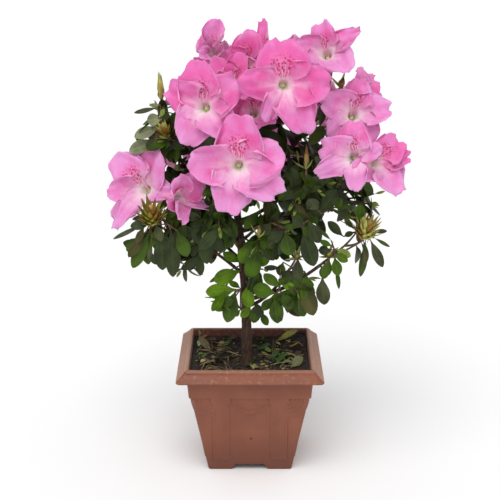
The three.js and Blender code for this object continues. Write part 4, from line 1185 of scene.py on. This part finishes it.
def leaf_points(root, heading, face, length, breadth, curl, fold, outline=leaf_outline):
    """The corner points of one leaf, bent down along its length and folded along its rib."""
    side = heading.cross(face).normalized()
    normal = side.cross(heading).normalized()
    angle = curl * leaf_share
    forward = length * leaf_share * np.sinc(angle / (2 * math.pi)) * np.cos(angle / 2)
    down = length * leaf_share * np.sinc(angle / (2 * math.pi)) * np.sin(angle / 2)
    across = leaf_across * outline * breadth / 2
    rise = fold * np.abs(across) - 0.25 * fold * across**2 / (breadth / 2)
    points = np.array(root) + np.outer(forward, heading) + np.outer(across, side)
    return points + np.outer(rise - down, normal)


def light_from(p):
    """Leaves turn to the light: forward on the front of the crown and back behind it."""
    return Vector((0.5 * p.x, 2 * (p.y - 4), 0.4 * (p.z - 240))).normalized()


def clear(start, end, margin=1.0):
    """Nothing of the blooms lies between two points."""
    way = end - start
    hit = petal_tree.ray_cast(start, way.normalized(), way.length + margin)
    return hit[0] is None


def leaf_fits(root, heading, side, length, breadth):
    tip = root + heading * length
    waist = root + heading * (0.6 * length)
    edges = [tip] + [waist + side * (s * breadth / 2) for s in (-1, 1)]
    if tip.z < LEAF["lowest"] or not all(clear(root, edge) for edge in edges):
        return False
    return clear(edges[1], edges[2])


twigs = Limbs(6)
stems = {}
sprays = {green: [] for green in GREENS}


def grow_leaves(rng, path, number, droop, shades, inside):
    """Leaves in golden-angle turns round a twig, from its tip down."""
    span = (path[-1] - path[0]).length
    axis = (path[-1] - path[-2]).normalized()
    across = axis.cross(UP if abs(axis.z) < 0.9 else Vector((1, 0, 0))).normalized()
    first = rng.random() * 6.28
    for k in range(number):
        for attempt in range(LEAF["tries"]):
            spread = math.radians(mix(*LEAF["spread"], rng.random()))
            turn = first + k * GOLDEN_ANGLE + (rng.random() - 0.5) * 0.35 * attempt
            foot = bezier(path, max(0.97 - LEAF["spacing"] * k / span, 0.1))
            outward = (Matrix.Rotation(turn, 3, axis) @ across).normalized()
            heading = axis * math.cos(spread) + outward * math.sin(spread)
            heading -= UP * (droop * rng.uniform(0.5, 1.6))
            heading.normalize()
            face = axis * 0.5 + UP * 0.4 + light_from(foot) * 1.1
            face += Vector([rng.uniform(-0.8, 0.8) for _ in range(3)])
            if face.cross(heading).length < 0.3:
                face = outward
            length = mix(*LEAF["length"], rng.random() ** 1.2) * (1 - 0.03 * attempt)
            breadth = length * LEAF["breadth"] * rng.uniform(0.88, 1.12)
            side = heading.cross(face).normalized()
            if -heading.dot(axis) > 0.8 or not inside(foot + heading * length):
                continue
            if not leaf_fits(foot, heading, side, length, breadth):
                continue
            curl, fold = rng.uniform(0.1, 0.75), rng.uniform(0.1, 0.45)
            points = leaf_points(foot, heading, face, length, breadth, curl, fold)
            sprays[rng.choice(shades)].append(points)
            break
    return axis, across


for order, (name, mass) in enumerate(MASSES.items()):
    trunk_height, middle, half, count, droop, greens = mass
    rng = random.Random(300 + 7 * order)
    middle, half = Vector(middle), Vector(half)
    greens = greens.split()
    # Leaf tips keep further inside a mass that has listed sprays as well.
    limit = 0.88 if any(spray[0] == name for spray in SPRAYS) else 1.04
    if trunk_height:
        start = trunk_at(trunk_height)
        heading = Vector((middle.x - start.x, middle.y - start.y, 0)).normalized()
        width = 1.2
    else:
        start = boughs[name][2]
        heading = (start - boughs[name][1]).normalized()
        width = BOUGHS[name][3][1]
    reach = (middle - start).length
    end = middle.lerp(start, 0.12)
    stem = [start - heading * 1.5, start + heading * (0.4 * reach), end]
    twigs.add([bezier(stem, t) for t in along(14)], [mix(width, 0.95, t) for t in along(14)])
    stems[name] = stem

    def inside(p):
        return Vector([(a - b) / c for a, b, c in zip(p, middle, half)]).length < limit

    grown = 0
    for s in range(4 * count):
        if grown == count:
            break
        # Twigs spread evenly over the ellipsoid, every other one finer and at its own depth.
        z = 1 - 2 * ((s * GOLDEN_SHARE + 0.35) % 1)
        turn = s * GOLDEN_ANGLE + rng.random() * 0.8
        flat = math.sqrt(1 - z * z)
        direction = Vector((flat * math.cos(turn), flat * math.sin(turn), z))
        share = 0.52 if s % 2 == 0 else rng.uniform(0.3, 0.66)
        tip = middle + Vector([a * b for a, b in zip(direction, half)]) * share
        root = bezier(stem, mix(0.4, 0.98, rng.random()))
        span = (tip - root).length
        if span < 7 or not clear(root, tip, 2):
            continue
        grown += 1
        sag = Vector((0, 0, -0.06 * span))
        path = [root, root.lerp(tip, 0.5) + sag, tip]
        twigs.add([bezier(path, t) for t in along(8)], [mix(0.9, 0.62, t) for t in along(8)])
        green = rng.choice(greens)
        shades = [green] * 5 + [rng.choice(("mid", "dark", "dusky", "bronze"))]
        axis, across = grow_leaves(rng, path, LEAF["per_twig"], droop, shades, inside)
        for k in range(4 if rng.random() < 0.35 else 1):
            # Narrow young leaves round the bud.
            outward = Matrix.Rotation(k * 1.7, 3, axis) @ across
            heading = (axis + outward * rng.uniform(0.2, 0.6)).normalized()
            length, breadth = rng.uniform(*YOUNG_LEAF["length"]), YOUNG_LEAF["breadth"]
            if clear(tip, tip + heading * length):
                points = leaf_points(tip, heading, outward, length, breadth, 0.3, 0.4)
                sprays["young"].append(points)

for order, (host, end, leaves) in enumerate(SPRAYS):
    rng = random.Random(1500 + order)
    end = Vector(end)
    if host.startswith("trunk"):
        start = trunk_at(end.z + 3)
    else:
        limbs = [bezier(stems[host], t) for t in along(20)]
        limbs += [bezier(boughs[host], t) for t in along(30)]
        start = min(limbs, key=lambda p: (p - end).length)
    path = [start, start.lerp(end, 0.5) + Vector((0, 0, -0.08 * (end - start).length)), end]
    twigs.add([bezier(path, t) for t in along(8)], [mix(1.0, 0.7, t) for t in along(8)])
    for k, (foot_x, foot_z, tip_x, tip_z, breadth, green) in enumerate(leaves):
        # Every other leaf hangs further forward than its neighbours.
        root = Vector((foot_x, end.y - 1, foot_z))
        tip = Vector((tip_x, end.y - 3 - 4 * (k % 2), tip_z))
        path = [end, end.lerp(root, 0.5) + Vector((0, -1, 0)), root]
        twigs.add([bezier(path, t) for t in along(5)], [0.55] * 6)
        face = Vector((rng.uniform(-0.45, 0.45), -1, rng.uniform(-0.1, 0.6)))
        heading = (tip - root).normalized()
        curl, fold = rng.uniform(-0.2, 0.35), rng.uniform(0.08, 0.3)
        points = leaf_points(root, heading, face, (tip - root).length, breadth, curl, fold)
        sprays[green].append(points)

# Whorls of older leaves stand behind the trusses, on the ends of the flowering boughs.
for order, (name, (bough, blooms)) in enumerate(TRUSSES.items()):
    rng = random.Random(700 + order)
    curve = boughs[bough]
    feet = [Vector(b["at"]) - face_frame(b["face"])[0] * BLOOM["tube"] for b in blooms]
    mean = sum(feet, Vector()) / len(feet)
    root = bezier(curve, 0.93)
    paths = [[bezier(curve, t - 0.12), bezier(curve, t)] for t in (0.6, 0.75, 0.9)]
    paths.append([root, root.lerp(mean, 0.35), root.lerp(mean, 0.6)])
    for path in paths:
        grow_leaves(rng, path, 6, 0.2, ["dark", "dark", "dusky", "mid"], lambda p: p.z < 340)


def leaf_material(name, colour):
    """Leather-like skin with a pale sunken midrib and faint side veins."""
    material, tree, shader = node_material("leaf_" + name, 0.45)
    shader.inputs["Specular IOR Level"].default_value = 0.2
    _, across, length = own_map(tree)
    from_rib = off_rib(tree, across)
    slant = math_node(tree, "MULTIPLY_ADD", from_rib, -0.22, length)
    wave = math_node(tree, "SINE", math_node(tree, "MULTIPLY", slant, 52.0))
    veins = map_range(tree, wave, 0.75, 1.0, 0.0, 0.35)
    rib = map_range(tree, from_rib, 0.12, 0.02)
    pale = product(tree, math_node(tree, "MAXIMUM", rib, veins), 0.45)
    # Older and sunnier parts of the skin differ a little in tone.
    colour = srgb(*colour)
    cloud = fine_noise(tree, object_place(tree), 75, 3)
    tones = [(0.36, [c * 0.62 for c in colour]), (0.64, [c * 1.32 for c in colour])]
    skin = ramp(tree, cloud, tones)
    lighter = [min(c * 1.8 + 0.004, 1) for c in colour]
    tree.links.new(blend_colours(tree, pale, skin, lighter), shader.inputs["Base Color"])
    bump(tree, shader, product(tree, pale, -1.0), 0.5, 0.0006)
    return material


def joined_leaves(name, places, material, *nodes):
    """One piece of many leaves, which may stand for nodes."""
    count, size = len(places), len(leaf_share)
    mesh = bpy.data.meshes.new(name)
    points = np.concatenate(places) * MM
    faces = np.concatenate([leaf_faces + size * i for i in range(count)])
    mesh.from_pydata(points, [], faces)
    layer = mesh.uv_layers.new(name="OFBake")
    layer.uv.foreach_set("vector", np.tile(leaf_uvs, (count, 1)).astype(np.float32).ravel())
    mesh.shade_smooth()
    mesh.materials.append(material)
    obj = bpy.data.objects.new(name, mesh)
    scene.collection.objects.link(obj)
    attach(obj, "root")
    if nodes:
        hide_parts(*nodes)


twig_bark = mottled_material(
    "red_brown_twig", 0.75, 500, (70, 48, 40), (112, 84, 62), detail=4, relief=(0.5, 0.0004)
)
make_piece("leafy_twigs", twigs.mesh(), twig_bark, slot="bark")
for green, places in sprays.items():
    # The dark leaves, the largest piece, stand for the leaf masses.
    masses = ["leaves_" + name for name in MASSES] if green == "dark" else []
    joined_leaves("leaves_" + green, places, leaf_material(green, GREENS[green]), *masses)

# ------------------------------------------------------------------------------- buds
# Fat flower and leaf buds end some twigs: overlapping pointed scales, green to orange brown and
# sticky, with a few needle-like young leaves spread round them.
# Columns: mass that it grows from, place, axis, length, width, scales, young leaves, colour.
BUDS = (
    ("upper_left", (-66, -13, 279), (-0.2, -0.3, 0.9), 17, 16, 26, 7, "orange"),
    ("upper_left", (-71, 0, 307), (-0.04, -0.1, 1), 22, 10, 12, 0, "pale"),
    ("left", (-78, -37, 213), (0, -0.3, 0.95), 23, 22, 44, 12, "gold"),
    ("centre_left", (-37, -24, 196), (-0.1, -0.6, 0.5), 9, 6, 9, 5, "orange"),
    ("low_left", (-60, -24, 181), (-0.2, -0.7, 0.1), 8, 6, 8, 5, "green"),
    ("centre", (7, -38, 203), (0.05, -0.3, 0.95), 12, 6.5, 12, 3, "orange"),
    ("low_centre", (37.5, -26, 183), (0.2, -0.6, 0.6), 8, 6, 8, 6, "green"),
    ("low_right", (63, -26, 184), (0.2, -0.6, 0.7), 9, 8, 10, 10, "green"),
    ("low_right", (90, -28, 199), (0.3, -0.25, 0.9), 23, 21, 42, 10, "pale"),
    ("right", (77, -18, 215), (0.2, -0.7, 0.5), 9, 7, 8, 8, "green"),
    ("centre_right", (44, -40, 259), (0, -0.2, 1), 19, 7, 10, 2, "brown"),
    ("right", (72, -2, 318), (0.1, -0.7, 0.6), 12, 10, 12, 4, "brown"),
    ("back_left", (-70, 52, 222), (-0.4, 0.7, 0.4), 11, 8, 12, 5, "green"),
    ("back", (-8, 78, 232), (0, 0.9, 0.3), 10, 8, 12, 5, "orange"),
    ("back_right", (78, 56, 232), (0.5, 0.6, 0.5), 11, 8, 12, 5, "green"),
)
BUD_COLOURS = {
    "pale": (196, 196, 110), "green": (140, 152, 72), "orange": (152, 112, 52),
    "brown": (122, 88, 50), "gold": (146, 138, 56),
}
OPENING = 14  # a bud that is wider than this has begun to open
bud_cores = bmesh.new()
bud_twigs = Limbs(6)
scales = {colour: [] for colour in BUD_COLOURS}
needles = []
for order, (host, place, axis, length, width, count, young, colour) in enumerate(BUDS):
    rng = random.Random(1200 + order)
    foot, axis = Vector(place), Vector(axis).normalized()
    start = min((bezier(stems[host], t) for t in along(10)), key=lambda p: (p - foot).length)
    if host == "right" and foot.z > 300:
        start = bezier(boughs["upper_right"], 0.9)
    curve = [start, foot - axis * (0.4 * (foot - start).length), foot + axis]
    bud_twigs.add([bezier(curve, t) for t in along(10)], [mix(1.0, 0.8, t) for t in along(10)])
    across = axis.cross(Vector((1, 0.2, 0.1))).normalized()
    other = {"orange": "pale", "brown": "green"}.get(colour, "orange")
    lie = axis.to_track_quat("Z", "Y").to_matrix().to_4x4()
    opening = width > OPENING
    thick = (0.2 if opening else 0.26) * width
    size = Matrix.Diagonal((thick, thick, 0.42 * length, 1))
    core = Matrix.Translation(foot + axis * (0.4 * length)) @ lie @ size
    bmesh.ops.create_icosphere(bud_cores, subdivisions=3, radius=1, matrix=core)
    for k in range(count):
        # The outer scales start lowest and lean out most.
        share = (k + 0.5) / count
        outward = Matrix.Rotation(k * GOLDEN_ANGLE, 3, axis) @ across
        lean = mix(1.5 if opening else 0.9, 0.3, share) * width / length
        heading = (axis + outward * lean).normalized()
        root = foot + outward * (0.12 * width) + axis * (0.3 * length * share)
        points = leaf_points(
            root, heading, outward, length * mix(0.55, 0.8, share) * rng.uniform(0.85, 1.1),
            (0.24 if opening else 0.56) * width, 0.1 if opening else 2.1 * lean, -0.4, pointed,
        )
        scales[rng.choice((colour, colour, colour, other))].append(points)
    for k in range(young):
        outward = Matrix.Rotation(k * GOLDEN_ANGLE + 1, 3, axis) @ across
        heading = (axis * rng.uniform(0.1, 1) + outward).normalized()
        reach = rng.uniform(9, 17)
        if clear(foot, foot + heading * reach):
            needles.append(leaf_points(foot, heading, axis, reach, 2.8, -0.5, 0.5, pointed))
make_piece("bud_twigs", bud_twigs.mesh(), twig_bark, slot="bark")
bud_skin = mottled_material(
    "bud_skin", 0.5, 120, (126, 136, 60), (178, 150, 76), detail=3, relief=(0.4, 0.0004)
)
make_piece("bud_cores", bud_cores, bud_skin, slot="leaves")
for colour, places in scales.items():
    skin = leaf_material("bud_" + colour, BUD_COLOURS[colour])
    joined_leaves("bud_scales_" + colour, places, skin)
joined_leaves("needle_leaves", needles, leaf_material("needle", (150, 164, 96)))

# ------------------------------------------------------------------------------- litter
# Fallen leaves, green bits and dry stalks lie on the potting mix, most of them along the walls.
# Columns: foot and tip of a fallen leaf, how high its tip stands, its breadth and its colour.
FALLEN = (
    (-34, 17, -45, 33, 5, 8, "dun"), (-29, -2, -36, -18, 2, 6, "olive"),
    (-45, 4, -40, 9, 3, 4, "moss"), (-42, -1, -37, 5, 3, 3, "moss"),
    (-42, -11, -38, -6, 2, 4, "straw"), (-45, -12, -44, -6, 2, 4, "moss"),
    (13, 41, 8, 44, 4, 6, "green"), (4, 28, 19, 28, 3, 6, "green"), (19, 4, 26, 12, 6, 9, "green"),
    (21, -5, 33, 5, 3, 8, "green"), (19, 25, 13, 22, 4, 6, "moss"), (22, 41, 43, 42, 6, 7, "gold"),
    (34, 28, 45, 14, 4, 6, "yellow"), (9, 17, 15, 4, 4, 4, "pale"),
    (34, -18, 45, -15, 6, 9, "olive"), (3, -15, 2, -8, 4, 5, "straw"),
    (9, -17, 8, -10, 4, 8, "brown"), (-45, 45, -45, 45, 9, 3, "straw"),
    (-45, 45, -38, 43, 6, 5, "rust"), (-42, 45, -30, 38, 2, 8, "brown"),
    (-29, 34, -17, 20, 2, 7, "brown"), (-45, 25, -45, 32, 3, 4, "pale"),
    (-21, 45, -11, 42, 2, 6, "brown"), (44, 4, 39, 8, 3, 6, "brown"),
    (30, 4, 35, -10, 2, 5, "moss"), (-34, 4, -23, -10, 3, 6, "dun"),
    (37, 45, 30, 45, 8, 3, "moss"),
)
LITTER_COLOURS = {
    "olive": (112, 112, 76), "green": (48, 84, 26), "moss": (92, 116, 44), "straw": (150, 140, 92),
    "brown": (74, 54, 42), "dun": (104, 92, 66), "gold": (146, 138, 70), "yellow": (178, 148, 56),
    "pale": (170, 180, 130), "rust": (124, 80, 48),
}
fallen = {colour: [] for colour in LITTER_COLOURS}
rng = random.Random(61)
for x0, y0, x1, y1, lift, breadth, colour in FALLEN:
    root, tip = on_soil(x0, y0, 1.2), on_soil(x1, y1, lift)
    face = UP + Vector([rng.uniform(-0.5, 0.5) for _ in range(3)])
    curl = rng.uniform(-0.7, 0.5)
    heading, length = (tip - root).normalized(), (tip - root).length
    fallen[colour].append(leaf_points(root, heading, face, length, breadth, curl, 0.5))
for k in range(150):
    # Shreds of leaf, thickest on the right.
    x, y = rng.triangular(-44, 44, 30), rng.uniform(-24, 44)
    turn = rng.uniform(0, 6.28)
    heading = Vector((math.cos(turn), math.sin(turn), rng.uniform(-0.1, 0.5))).normalized()
    face = UP + Vector([rng.uniform(-0.8, 0.8) for _ in range(3)])
    length = rng.uniform(3, 8)
    points = leaf_points(on_soil(x, y, 0.8), heading, face, length, 0.4 * length, 0.3, 0.4)
    fallen[rng.choice(("brown", "dun", "olive", "moss", "green", "gold"))].append(points)
for colour, places in fallen.items():
    skin = leaf_material("fallen_" + colour, LITTER_COLOURS[colour])
    joined_leaves("fallen_" + colour, places, skin)

stalks = Limbs(5)
for k in range(44):
    x = rng.uniform(-45, -14) if k < 32 else rng.uniform(10, 44)
    y, turn = rng.uniform(-30, 40), rng.uniform(0, 6.28)
    reach = rng.uniform(7, 15)
    away = Vector((math.cos(turn), math.sin(turn), 0)) * reach
    ends = [max(-46, min(46, x + s * away.x)) for s in (-1, 1)]
    sides = [max(-46, min(46, y + s * away.y)) for s in (-1, 1)]
    curve = [on_soil(ends[0], sides[0], 0.6), on_soil(x, y, rng.uniform(2, 7))]
    curve.append(on_soil(ends[1], sides[1], rng.uniform(0.6, 4)))
    radius = rng.uniform(0.25, 0.6)
    stalks.add([bezier(curve, t) for t in along(9)], [radius] * 10)
stalk_skin = mottled_material("dry_stalk", 0.8, 60, (84, 68, 46), (156, 140, 96), 4, 0.4)
make_piece("dry_stalks", stalks.mesh(), stalk_skin, slot="potting_mix")

low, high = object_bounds()
